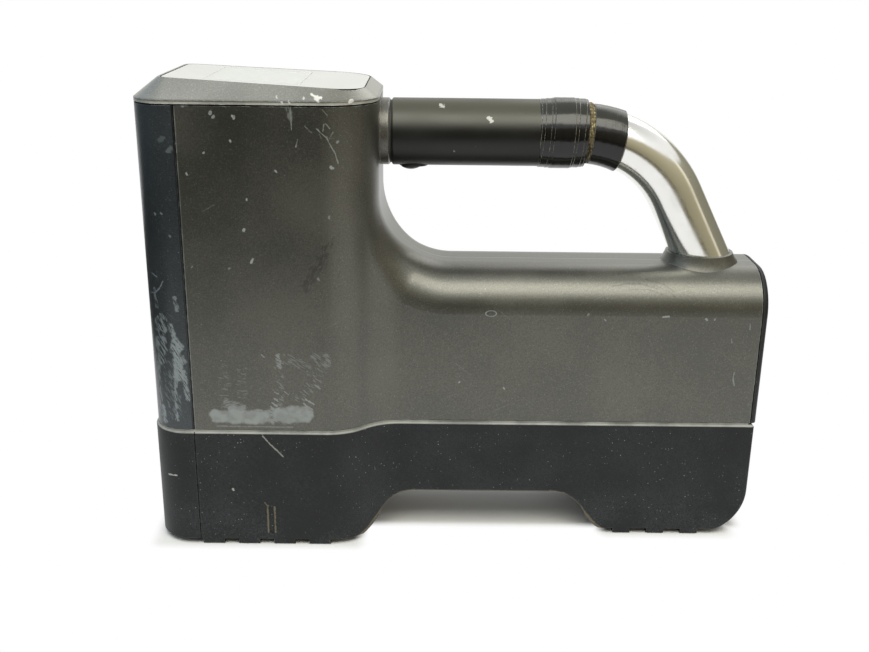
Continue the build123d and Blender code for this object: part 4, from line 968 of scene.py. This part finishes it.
BOOT_MARKS: tuple[Mark, ...] = (
    Stroke(((-113.1, 71.4), (-108.8, 66.0), (-101.6, 58.3)), 0.85, 0.6),
    Stroke(((-170.4, 44.2), (-165.0, 44.9)), 0.9, 1.0),
    *chips((-131.6, 36.2, 1.2, 0.9)),
    Stroke(((-40.0, 52.0), (-28.0, 44.0)), 0.7, 0.4, Side.FAR),
    *chips((120.0, 40.0, 1.2, 0.7), side=Side.FAR),
)
GRIP_MARKS: tuple[Mark, ...] = (
    Stroke(((-12.4, 256.9), (-10.4, 256.2)), 1.3, 0.85),
    Stroke(((15.0, 251.0), (16.4, 249.2)), 1.8, 0.9),
    *chips((-4.0, 232.0, 1.0, 0.4)),
    *chips((30.0, 246.0, 1.1, 0.4), side=Side.FAR),
)
# The finish of each slot; plain numbers come in the order of the finish's own values
FINISHES = {
    # The shell's pale rims along the belt and beside the front seam are rubbed paint and a painted highlight
    # of those edges
    "shell_paint": WornPaint(
        "sprayed_metallic_paint_warm_grey", "#585852", "#6a6961", seam=0.8,
        rims=(Rim(Axis.Z, 74.2, 74.8, 0.6), Rim(Axis.X, -152.6, -151.9, 0.2)),
        marks=SHELL_MARKS, dents=SHELL_DENTS,
    ),
    # The cover's pale rim along the belt is rubbed paint and a painted highlight
    "cover_paint": WornPaint(
        "sprayed_metallic_paint_blue_grey", "#383e41", "#474d50", "#929c9f", 0.4, 0.7,
        # Along the front seam's edge the cover is darker: dirt and painted shade of the joint
        rims=(Rim(Axis.Z, 74.2, 74.8, 0.6),), dark_rims=(Rim(Axis.X, -154.0, -153.0, 0.85),), marks=COVER_MARKS,
    ),
    # The boot's pale rim along its top lip is a painted highlight
    "boot_plastic": Moulded(
        "moulded_boot_eroded_grain", "#181a1b", "#2a2d2f", 0.48, specular=0.3, specks=Specks(1.8, 0.36),
        edge_share=0.6, film="#34363a", rims=(Rim(Axis.Z, 72.6, 73.5, 0.6),), marks=BOOT_MARKS,
        stains_and_highlights=BOOT_STAINS_AND_HIGHLIGHTS,
    ),
    # The seal's pale rim in the belt gap is a painted highlight over the shade of its recess
    "seal_rubber": Moulded(
        "moulded_seal_rubber", "#0d0e0e", "#141515", 0.7, 0.5, 0.01, 0.2,
        rims=(Rim(Axis.Z, 73.2, 74.4, 0.72),),
    ),
    "bezel_paint": WornPaint(
        "sprayed_silver_paint", "#7e7e76", "#94938a", "#e4e3dd", 0.36, 0.6,
        specks=Specks(7.0, 0.45, 0.35, 0.36), edge_radius=1.2, edge_strength=0.9, marks=BEZEL_MARKS,
        # A darker line along the crease above the bezel's lip
        rims=(Rim(Axis.Z, 261.2, 262.4, 0.5),), dark_rims=(Rim(Axis.Z, 263.1, 263.7, 0.42),),
    ),
    "panel_plastic": Moulded(
        "moulded_panel_pale_satin", "#d2d2cd", "#dcdcd8", 0.35, 0.6, 0.006, dust="#b8b8b2"
    ),
    "window_glass": Glass("coated_acrylic_window", "#f1f3ef"),
    "display_plastic": Moulded("liquid_crystal_cell_grey_green", "#ced2c8", "#d6dad0", 0.35, 0.4, 0.002),
    "board_green": Moulded("glass_epoxy_board_green_mask", "#124a2b", "#1a5c37", 0.35, 1.5, 0.02),
    "screw_steel": Metal("turned_stainless_steel", "#b9b8b4", "#9c9b97", 0.28, (0.5, 0.5, 6.0)),
    "infrared_plastic": Moulded("tinted_infrared_window", "#16090c", "#1d0c10", 0.15, 1.0, 0.001),
    "tube_aluminium": Metal("drawn_aluminium_satin", "#f3f3f0", "#eae9e3", 0.16, (9.0, 0.5, 0.5)),
    "collar_paint": WornPaint("sprayed_collar_paint", "#4c4b46", "#66645c", "#c9c6ba", 0.36, 0.5),
    "ring_rubber": Moulded(
        "moulded_ring_rubber", "#141414", "#1f1f1e", 0.55, 0.6, 0.02,
        dust="#dcdcd6", specks=Specks(3.4, 0.8),
    ),
    # The grip's top is lighter above 243 mm: a painted highlight
    "grip_rubber": Moulded(
        "moulded_grip_rubber", "#0a0a08", "#10100d", 0.4, 0.5, 0.015, 0.44, "#cfcfc8", Specks(9.0, 0.3),
        painted_top_sheen="#4a493d", sheen_height=243.0, sheen_depth=9.0, edge_share=0.2, marks=GRIP_MARKS,
    ),
    "plate_steel": Metal("rolled_zinc_plated_steel", "#a9a8a2", "#8f8e88", 0.34),
    # The tape's pale edge colour is dust and a painted glint
    "tape_vinyl": WoundVinyl("stretched_vinyl_tape", "#060607", "#8f8b7c"),
    "trigger_plastic": Moulded("moulded_trigger_black", "#151515", "#1e1e1e", 0.3, 0.6, 0.006),
    "spring_steel": Metal("drawn_spring_wire", "#b4b3ae", "#96958f", 0.25),
    "switch_plastic": Moulded("moulded_switch_black", "#1a1a1b", "#232324", 0.45, 0.6, 0.01),
    "battery_plastic": Moulded(
        "moulded_battery_case_black", "#1b1c1d", "#252728", 0.5, 0.7, 0.02, edge_share=0.3
    ),
    "cap_plastic": Moulded(
        "moulded_end_cap_black", "#121315", "#1a1c1e", 0.45, 0.8, 0.03, 0.4, "#c9c9c4", Specks(4.0, 0.4),
        edge_share=0.3,
    ),
    "cell_wrap": Moulded("shrunk_cell_sleeve_blue", "#1f3f66", "#2a5182", 0.3, 2.0, 0.01),
    "contact_brass": Metal("stamped_gilded_brass", "#d8b25a", "#c39a42", 0.22),
    "lock_plastic": Moulded("moulded_lock_grey", "#4a4c4d", "#585b5c", 0.42, 0.6, 0.01, edge_share=0.5),
    "bay_plastic": Moulded("moulded_bay_black", "#202122", "#2b2d2e", 0.55, 0.8, 0.03),
    "chip_plastic": Moulded("moulded_chip_epoxy", "#17181a", "#202124", 0.4, 0.4, 0.005),
    "standoff_brass": Metal("turned_nickel_brass", "#c9c2a6", "#b3ab8c", 0.25),
    "antenna_rubber": Moulded("dipped_antenna_rubber", "#111112", "#19191a", 0.55, 0.7, 0.02),
    "ferrite": Moulded("sintered_ferrite_rod", "#2a292b", "#363537", 0.6, 0.3, 0.03),
    "coil_copper": Metal("wound_enamelled_copper", "#b5622f", "#8d4821", 0.3, (6.0, 0.6, 0.6), 0.05),
}
RESIDUE = Moulded(
    "dried_adhesive_residue", "#14100a", "#8f8159", 0.6, 1.5, 0.2,
    dust="#e8daae", specks=Specks(1.0, 0.62), attribute="unbent",
)


@dataclass(frozen=True)
class Lamp:
    """A soft rectangular lamp aimed at the receiver: its place and size in metres and its power in watts."""

    name: str
    place: Point
    size: Place
    power: float
    colour: str
    aim: Point = (0.0, 0.0, 0.14)

    def hang(self) -> None:
        """Hang the lamp."""
        lamp = bpy.data.lights.new(self.name, "AREA")
        lamp.shape = "RECTANGLE"
        lamp.size, lamp.size_y = self.size
        lamp.energy = self.power
        lamp.color = linear(self.colour)[:3]
        holder = bpy.data.objects.new(self.name, lamp)
        holder.location = self.place
        holder.rotation_mode = "QUATERNION"
        holder.rotation_quaternion = (Vector(self.aim) - Vector(self.place)).to_track_quat("-Z", "Y")
        bpy.context.scene.collection.objects.link(holder)


@dataclass(frozen=True)
class Band:
    """A part of the room's wall in one colour: where it fades in along X and, if given, Y, in millimetres."""

    colour: str
    along_x: Span
    along_y: Span = ()


@dataclass(frozen=True)
class Studio:
    """White paper floor, a dim olive room with a pale wall behind, and three soft lamps.

    The widest lamp hangs high in front, one at the left, and one high behind like a window. The wall's bands
    lie one over the other, and the last of them is lit at its full strength. Lengths are in metres, but the
    felt's span is in millimetres, and those of the sky are parts of a direction of length one.
    """

    floor_half: float = 20.0
    floor_colour: str = "#f5f5f5"
    floor_roughness: float = 0.9
    shadow_soft: float = 0.010
    shadow_boxes: tuple[Box, ...] = (
        (-0.176, -0.051, -0.062, 0.06),
        (-0.07, -0.022, 0.172, 0.05),
        (0.095, -0.034, 0.166, 0.05),
    )
    room_radius: float = 1.7
    room_height: float = 1.0
    room_corners: int = 97
    carpets: tuple[tuple[str, Box], ...] = (
        ("carpet_front_left", (-1.7, -1.7, 0.0, -0.47)),
        ("carpet_front_right", (0.0, -1.7, 1.7, -0.72)),
        ("carpet_left", (-1.7, -0.47, -0.42, 0.6)),
        ("carpet_right", (0.6, -0.72, 1.7, 0.6)),
    )
    carpet_height: float = 0.001
    carpet_tones: tuple[str, str] = ("#2b2b29", "#6a6350")
    runner: Box = (0.5, -0.3, 1.69, 0.1)
    runner_height: float = 0.002
    runner_tones: tuple[str, str] = ("#0c0c0b", "#12110e")
    felt_span: Span = (-250.0, 250.0)
    wall_colour: str = "#40403b"
    wall_levels: Span = (0.7, 1.05)
    wall_bands: tuple[Band, ...] = (
        Band("#b4ac8f", (-250.0, 700.0)),
        Band("#9ba6ac", (-800.0, -1500.0)),
        Band("#fff6dd", (600.0, 1000.0), (-640.0, -540.0)),
        Band("#94907e", (600.0, 1000.0), (-380.0, -280.0)),
        Band("#f1f1ed", (1250.0, 950.0), (800.0, 1350.0)),
    )
    sky: float = 0.5
    sky_blue: str = "#c3d8ee"
    sky_left: Span = (-0.25, -0.7)
    sky_right: Span = (-0.3, 0.05)
    overhead: Span = (0.6, 0.85)
    overhead_share: float = 0.68
    lamps: tuple[Lamp, ...] = (
        Lamp("front_lamp", (0.12, -0.97, 1.57), (1.8, 0.95), 24.0, "#fffdf0"),
        Lamp("left_lamp", (-0.5, -0.35, 1.55), (0.5, 0.6), 2.6, "#dcebff"),
        Lamp("window_lamp", (0.75, 1.15, 1.35), (1.2, 1.0), 4.0, "#fffffa"),
    )

    def build(self) -> None:
        """Lay the floor, put up the room, light the world and hang the lamps."""
        half = self.floor_half
        self.sheet("floor", (-half, -half, half, half), 0.0, self.paper())
        carpet = self.felt("dark_floor_felt", *self.carpet_tones)
        runner = self.felt("black_floor_felt", *self.runner_tones)
        pieces = [self.sheet(name, box, self.carpet_height, carpet) for name, box in self.carpets]
        pieces.append(self.sheet("carpet_runner", self.runner, self.runner_height, runner))
        pieces.append(self.ring_wall("room_wall", self.plaster()))
        for piece in pieces:
            piece.visible_camera = False
            piece.visible_shadow = False
        self.light_world()
        for lamp in self.lamps:
            lamp.hang()

    def sheet(self, name: str, box: Box, height: float, finish: Material) -> Piece:
        """Lay a flat sheet between a box's least X and Y and its greatest, at a height, in metres."""
        across, deep = np.meshgrid(np.array([box[0], box[2]]), np.array([box[1], box[3]]))
        return self.put(name, np.stack([across, deep, np.full_like(across, height)], -1), finish)

    def ring_wall(self, name: str, finish: Material) -> Piece:
        """Stand a wall all round: a circle in plan, carried straight up.

        Args:
            name: The wall's name.
            finish: Its material.

        Returns:
            The wall.
        """
        corners = np.linspace(0.0, FULL_TURN, self.room_corners)
        turn, rise = np.meshgrid(corners, np.array([0.0, self.room_height]))
        points = np.stack([self.room_radius * np.sin(turn), -self.room_radius * np.cos(turn), rise], -1)
        return self.put(name, points, finish)

    def put(self, name: str, points: Array, finish: Material) -> Piece:
        """Put up one stage piece.

        Args:
            name: The piece's name.
            points: Its grid of points in metres.
            finish: Its material.

        Returns:
            The piece.
        """
        mesh = grid_mesh(name, points)
        mesh.materials.append(finish)
        piece = bpy.data.objects.new(name, mesh)
        bpy.context.scene.collection.objects.link(piece)
        return piece

    def paper(self) -> Material:
        """Make the floor's white paper: white to the eye, but under the receiver it takes the shadow.

        Returns:
            The material.
        """
        paper = Recipe("white_paper_floor")
        under = paper.strongest([self.near_box(paper, box) for box in self.shadow_boxes])
        lift = paper.times(paper.seen(), paper.maths("SUBTRACT", 1.0, under))
        colour = paper.mix(lift, self.floor_colour, "#000000")
        paper.shade(Base_Color=colour, Roughness=self.floor_roughness, Specular_IOR_Level=0.0)
        paper.shade(Emission_Color=WHITE, Emission_Strength=lift)
        return paper.material

    def near_box(self, paper: Recipe, box: Box) -> Socket:
        """Find a box on the floor: one inside it, falling to zero over the shadow's soft edge.

        Args:
            paper: The floor's material in the making.
            box: The box's least X and Y and greatest X and Y, in metres.

        Returns:
            The mask.
        """
        middle = ((box[0] + box[2]) / 2 / MM, (box[1] + box[3]) / 2 / MM, 0.0)
        half = ((box[2] - box[0]) / 2 / MM, (box[3] - box[1]) / 2 / MM, 0.0)
        apart = paper.vectors("ABSOLUTE", paper.vectors("SUBTRACT", paper.mm, middle))
        beyond = paper.vectors("MAXIMUM", paper.vectors("SUBTRACT", apart, half), (0.0, 0.0, 0.0))
        return paper.ramp(paper.vectors("LENGTH", beyond), self.shadow_soft / MM, 0.0)

    def felt(self, name: str, left: str, right: str) -> Material:
        """Make the floor beyond the paper, which shows in reflections only.

        Args:
            name: The material's name.
            left: Its colour to the left.
            right: Its colour to the right.

        Returns:
            The material.
        """
        felt = Recipe(name)
        colour = felt.mix(felt.ramp(felt.x, *self.felt_span), left, right)
        felt.shade(Base_Color=colour, Roughness=1.0, Specular_IOR_Level=0.0)
        return felt.material

    def plaster(self) -> Material:
        """Make the room's wall, seen in reflections only: dark at the front left, olive right, pale behind.

        Returns:
            The material.
        """
        wall = Recipe("olive_wall_plaster")
        colour, there = self.wall_colour, None
        for band in self.wall_bands:
            there = wall.ramp(wall.x, *band.along_x)
            if band.along_y:
                there = wall.times(wall.ramp(wall.y, *band.along_y), there)
            colour = wall.mix(there, colour, band.colour)
        rise = wall.ramp(wall.z, 0.0, self.room_height / MM, *self.wall_levels)
        wall.shade(Base_Color=BLACK, Roughness=1.0, Specular_IOR_Level=0.0)
        wall.shade(Emission_Color=colour, Emission_Strength=wall.strongest([rise, there]))
        return wall.material

    def light_world(self) -> None:
        """Light the surroundings: white to the camera; bluer left and dimmer overhead in reflections."""
        world = bpy.data.worlds.new("white_surroundings")
        bpy.context.scene.world = world
        world.use_nodes = True
        sky = Nodes(world.node_tree)
        x, _, z = sky.add("SeparateXYZ", {0: sky.add("TexCoord")}).node.outputs
        dim = sky.times(sky.carry(z, *self.overhead), sky.carry(x, *self.sky_right))
        level = sky.carry(sky.seen(), least=self.sky, most=1.0)
        strength = sky.times(level, sky.carry(dim, least=1.0, most=self.overhead_share))
        unseen = sky.maths("SUBTRACT", 1.0, sky.add("LightPath").node.outputs["Is Camera Ray"])
        tint = sky.times(sky.carry(x, *self.sky_left), unseen)
        colour = sky.mix(tint, "#ffffff", self.sky_blue)
        light = sky.add("Background", {"Color": colour, "Strength": strength})
        sky.add("OutputWorld", {"Surface": light})


@dataclass(frozen=True)
class PhotoCamera:
    """Camera at the photograph's viewing angle: its place in metres, its angles in degrees."""

    place: Point = (-0.0169, -0.6182, 0.3354)
    pitch: float = 19.06
    yaw: float = 0.28
    roll: float = 0.71
    focal_pixels: float = 1067.0
    image_width: int = 869
    sensor: float = 36.0

    def build(self) -> None:
        """Place the camera, pitched down, turned a little and rolled a little."""
        down, turn, lean = radians(self.pitch), radians(self.yaw), radians(self.roll)
        forward = Vector((sin(turn) * cos(down), cos(turn) * cos(down), -sin(down)))
        level = Vector((cos(turn), -sin(turn), 0.0))
        upward = level.cross(forward)
        right = cos(lean) * level + sin(lean) * upward
        top = cos(lean) * upward - sin(lean) * level
        data = bpy.data.cameras.new("photo_camera")
        data.sensor_width = self.sensor
        data.lens = self.focal_pixels * self.sensor / self.image_width
        camera = bpy.data.objects.new("photo_camera", data)
        turned = Matrix((right, top, -forward)).transposed().to_4x4()
        camera.matrix_world = Matrix.Translation(self.place) @ turned
        bpy.context.scene.collection.objects.link(camera)
        bpy.context.scene.camera = camera


@dataclass(frozen=True)
class HandleLine:
    """The handle's middle line in millimetres: straight along X, then round the bend and down."""

    height: float = 240.5
    bend_start: float = 68.5
    bend_radius: float = 65.0

    def skin(self, along: Array, turn: Array, radius: Array) -> Array:
        """Place points round the line: the line's point, plus the radius times out and near by the turn.

        Args:
            along: Distance along the line, counted as X before the bend.
            turn: Angle round the line from the outer side towards the near side.
            radius: Distance from the line.

        Returns:
            Points in metres, with one more axis than the inputs.
        """
        bend = np.maximum(along - self.bend_start, 0.0) / self.bend_radius
        out_x, out_z = np.sin(bend), np.cos(bend)
        middle_x = np.minimum(along, self.bend_start) + self.bend_radius * out_x
        middle_z = self.height + self.bend_radius * (out_z - 1.0)
        outward = radius * np.cos(turn)
        points = [middle_x + outward * out_x, -radius * np.sin(turn), middle_z + outward * out_z]
        return np.stack(points, -1) * MM


@dataclass(frozen=True)
class Lay:
    """One length of tape wound round and round: its middle goes through places at counted turns.

    The width, the middles, the sway, the quicker flutter and the softness of its edges are in millimetres.
    """

    width: float
    turns: tuple[float, ...]
    middles: tuple[float, ...]
    seed: float
    sway: float = 0.13
    flutter: float = 0.06
    flutter_rate: float = 3.2
    soft: float = 0.14
    soft_below: float = 0.10

    def cover(self, along: Array, turn: Array) -> Array:
        """Count the layers over each point.

        On the tape's count of turns t, its middle is drawn from the list, wavering a little; a turn covers a
        point that lies within half the tape's width of that middle, with an edge softer the deeper it lies.

        Args:
            along: Distance along the handle in millimetres.
            turn: Angle round it.

        Returns:
            The number of layers, with soft edges.
        """
        layers = np.zeros_like(along)
        count = int(self.turns[-1])
        for number in range(count):
            t = number + turn / FULL_TURN
            waver = self.sway * np.sin(FULL_TURN * t + self.seed)
            waver += self.flutter * np.sin(FULL_TURN * self.flutter_rate * t + 2.0 * self.seed)
            middle = np.interp(t, self.turns, self.middles) + waver
            soft = self.soft + self.soft_below * (count - 1 - number)
            inside = (self.width / 2 - np.abs(along - middle)) / soft
            layers += np.clip(inside + 0.5, 0.0, 1.0)
        return layers


def place_piece(mesh: Mesh, finish: Material, node: str) -> Piece:
    """Put a finished mesh on the housing.

    Args:
        mesh: The piece's mesh, which gives its name.
        finish: The piece's material.
        node: The solid that the piece stands for, or none.

    Returns:
        The piece.
    """
    mesh.materials.append(finish)
    piece = bpy.data.objects.new(mesh.name, mesh)
    bpy.context.scene.collection.objects.link(piece)
    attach(piece, "housing")
    if node:
        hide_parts(node)
    log.info("placed %s, %d faces", mesh.name, len(mesh.polygons))
    return piece


@dataclass(frozen=True)
class Sleeve:
    """A closed skin round the handle, between two places along it and on a core's radius, in millimetres."""

    name: str
    node: str
    core: float
    first: float
    last: float
    SLOT = "tape_vinyl"
    UNDER = 0.03
    LINE = HandleLine()

    def spread(self, rows: int, columns: int) -> tuple[Array, Array]:
        """Spread a grid of points evenly along the handle and round it.

        Args:
            rows: How many points there are along it.
            columns: How many there are round it.

        Returns:
            Each point's distance along the handle and its angle round it.
        """
        along = np.linspace(self.first, self.last, rows)
        turn = np.linspace(0.0, FULL_TURN, columns, endpoint=False)
        return tuple(np.meshgrid(along, turn, indexing="ij"))

    def close(self, along: Array, turn: Array, radius: Array) -> Mesh:
        """Make the skin, with two more rows just under the core, and keep its unbent place for its finish.

        Args:
            along: Distance along the line for each point.
            turn: Angle round it.
            radius: Distance from it.

        Returns:
            The mesh.
        """
        along = np.concatenate([along, along[-1:], along[:1]])
        turn = np.concatenate([turn, turn[:2]])
        radius = np.concatenate([radius, np.full_like(radius[:2], self.core - self.UNDER)])
        mesh = grid_mesh(self.name, self.LINE.skin(along, turn, radius), True, True)
        straight = np.stack([along, -radius * np.sin(turn), radius * np.cos(turn)], -1) * MM
        unbent = mesh.attributes.new("unbent", "FLOAT_VECTOR", "POINT")
        unbent.data.foreach_set("vector", straight.reshape(-1))
        return mesh


@dataclass(frozen=True)
class Winding(Sleeve):
    """Vinyl tape wound on the handle, with the step at every edge, fine creases and a slanted end.

    A layer's thickness, the grid's step and the heights of creases and ripples are in millimetres. An edge is
    marked in full where the layers change by the steepest number in a millimetre.
    """

    lay: Lay
    lean: float = 0.0
    layer: float = 0.26
    step: float = 0.13
    columns: int = 220
    seam: float = radians(205.0)
    steepest: float = 3.5
    crease: float = 0.018
    ripple: float = 0.03

    def build(self, finish: Material) -> None:
        """Wind the tape: the radius is the core's plus a layer for each turn that covers the point.

        Round the handle the winding is drawn out by its lean times the cosine of the turn, so its end slants.
        The creases and ripples are products of two sines. The steepness of the layers along the handle is
        kept as the mask of the tape's edges.

        Args:
            finish: The tape's material.
        """
        reach = self.last - self.first
        even, turn = self.spread(int(reach / self.step), self.columns)
        layers = self.lay.cover(even, turn)
        lip = np.clip(np.abs(np.gradient(layers, axis=0)) / self.step / self.steepest, 0.0, 1.0)
        creases = np.sin(7.0 * even + 3.0 * np.sin(turn)) * np.sin(2.3 * even - 2.0 * np.cos(turn) + 1.0)
        ripples = np.sin(9.0 * turn + 0.8 * even) * np.sin(4.0 * turn - 0.5 * even + 2.0)
        radius = self.core + self.layer * layers + self.crease * creases + self.ripple * ripples
        radius[0], radius[-1] = self.core, self.core
        along = even + (even - self.first) * self.lean / reach * np.cos(turn + self.seam)
        mesh = self.close(along, turn + self.seam, np.maximum(radius, self.core))
        mask = mesh.attributes.new("lip", "FLOAT", "POINT")
        mask.data.foreach_set("value", np.concatenate([lip, np.zeros_like(lip[:2])]).reshape(-1))
        place_piece(mesh, finish, self.node)


@dataclass(frozen=True)
class Residue(Sleeve):
    """Old adhesive and torn tape in the gap between the two windings, in lumps of up to a height."""

    height: float = 2.1
    least: float = 0.05
    rows: int = 40
    columns: int = 260

    def build(self, finish: Material) -> None:
        """Lay the lumps: a low crown between the ends, times sines that never repeat round the handle.

        Args:
            finish: The residue's material.
        """
        along, turn = self.spread(self.rows, self.columns)
        share = (along - self.first) / (self.last - self.first)
        lumps = 0.55 + 0.2 * np.sin(5.0 * turn + 4.0 * share) + 0.14 * np.sin(13.0 * turn - 7.0 * share + 1.0)
        lumps += 0.11 * np.sin(29.0 * turn + 9.0 * share) * np.sin(11.0 * share + 2.0 * np.sin(turn))
        crown = np.clip(8.0 * share * (1.0 - share), 0.0, 1.0)
        radius = self.core + self.height * crown * np.clip(lumps, self.least, 1.0)
        place_piece(self.close(along, turn, radius), finish, self.node)


@dataclass(frozen=True)
class TriggerSpring:
    """The coil spring over the trigger, which shortens as the trigger is pressed."""
    # The trigger's coil spring, which shortens when pressed; here one fixed coil between the node's ends.

    name: str = "trigger_spring_coil"
    node: str = "trigger_spring"
    wire: float = 0.6
    turns: float = 3.0
    keep: float = 0.57
    rows: int = 145
    columns: int = 12

    def build(self, finish: Material) -> None:
        """Wind the wire: a ring of half its thickness, carried round an even helix between the node's ends.

        Args:
            finish: The wire's material.
        """
        low, high = (np.array(corner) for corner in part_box(self.node))
        middle, half = (low + high) / 2, self.wire * MM / 2
        radius = (high[0] - low[0]) / 2 - half
        turn, ring = np.meshgrid(
            np.linspace(0.0, FULL_TURN * self.turns, self.rows),
            np.linspace(0.0, -FULL_TURN, self.columns, endpoint=False),
            indexing="ij",
        )
        share = turn / turn[-1, 0]
        reach = radius + half * np.cos(ring)
        rise = low[2] + half + share * (high[2] - low[2] - 2 * half) + half * np.sin(ring)
        points = np.stack([middle[0] + reach * np.cos(turn), middle[1] + reach * np.sin(turn), rise], -1)
        mesh = grid_mesh(self.name, points, around=True, capped=True)
        coil = place_piece(mesh, finish, self.node)
        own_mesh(coil)


@dataclass(frozen=True)
class PanelJoint:
    """Dirt and sealant in the joint round the top panel, which shows as a dark line, in millimetres."""

    name: str = "panel_joint_line"
    corners: tuple[Place, ...] = ((-162.9, -37.8), (-53.4, -44.6), (-53.4, 44.6), (-162.9, 37.8))
    radii: tuple[float, ...] = (5.8, 17.6, 17.6, 5.8)
    inner: float = 0.45
    outer: float = 0.25
    rise: float = 0.03
    depth: float = 0.5
    front_height: float = 274.2
    front: float = -177.8
    tilt: float = radians(2.75)
    count: int = 14

    def loop(self, inset: float) -> Array:
        """Work out the rounded outline: round each corner an arc that touches both edges.

        With n and m the outward normals of the edges that meet there, the arc's middle is the corner less the
        radius times (n + m) / (1 + n.m), and the arc runs from n's angle to m's.

        Args:
            inset: How far inside the outline.

        Returns:
            Points in plan, in millimetres.
        """
        corners = np.array(self.corners)
        radii = np.array(self.radii)[:, None]
        way = np.roll(corners, -1, 0) - corners
        way /= np.linalg.norm(way, axis=1, keepdims=True)
        after = np.stack([way[:, 1], -way[:, 0]], -1)
        before = np.roll(after, 1, 0)
        middle = corners - radii * (before + after) / (1.0 + (before * after).sum(1, keepdims=True))
        start = np.arctan2(before[:, 1], before[:, 0])[:, None]
        sweep = (np.arctan2(after[:, 1], after[:, 0])[:, None] - start) % FULL_TURN
        turn = start + sweep * np.linspace(0.0, 1.0, self.count)
        arcs = np.stack([np.cos(turn), np.sin(turn)], -1) * (radii - inset)[:, :, None]
        return (middle[:, None] + arcs).reshape(-1, 2)

    def build(self, finish: Material) -> None:
        """Lay the line: a small four-cornered section carried round the outline on the sloping top.

        Args:
            finish: The line's material.
        """
        plan = np.stack([self.loop(inset) for inset in (-self.outer, -self.outer, self.inner, self.inner)])
        top = self.front_height - (plan[..., 0] - self.front) * np.tan(self.tilt)
        lift = np.array([-self.depth, self.rise, self.rise, -self.depth])[:, None]
        points = np.concatenate([plan, (top + lift)[..., None]], -1) * MM
        place_piece(grid_mesh(self.name, points, True, True), finish, "")


@dataclass(frozen=True)
class Castings:
    """Every piece that the frame already has in its right shape, and the pieces made here."""

    windings: tuple[Winding, ...] = (
        Winding(
            "tape_wound_front", "tape_wrap_front", 19.1, 44.2, 71.4,
            Lay(19.0, (0.0, 1.0, 2.0, 3.0, 4.0), (61.7, 61.4, 58.6, 54.6, 53.8), -1.13, 0.9),
        ),
        Winding(
            "tape_wound_rear", "tape_wrap_rear", 15.93, 74.3, 93.5,
            Lay(18.6, (0.0, 2.0, 4.0, 5.0), (84.0, 83.7, 84.1, 83.8), 0.4), lean=-3.7,
        ),
    )
    residue: Residue = Residue("tape_residue", "tape_wrap_rear", 15.93, 71.3, 74.6)
    panel_joint: PanelJoint = PanelJoint()
    spring: TriggerSpring = TriggerSpring()

    def dress(self) -> None:
        """Give each node the finish of its slot, then make the tape, residue, joint line and spring."""
        made = {slot: finish.make() for slot, finish in FINISHES.items()}
        for row in frame["record"]["subparts"]:
            node, finish = frame["nodes"][row["node"]], made[row["material_slot"]]
            node.data.materials.clear()
            node.data.materials.append(finish)
            log.info("dressed %s in %s", row["node"], finish.name)
        for winding in self.windings:
            winding.build(made["tape_vinyl"])
        self.residue.build(RESIDUE.make())
        self.panel_joint.build(made["seal_rubber"])
        self.spring.build(made["spring_steel"])


def main() -> None:
    """Dress the receiver, light it and point the camera at it."""
    logging.basicConfig(level=logging.INFO, format="%(name)s: %(message)s")
    bpy.context.scene.view_settings.view_transform = "Standard"
    Castings().dress()
    Studio().build()
    PhotoCamera().build()


if __name__ == "__main__":
    main()
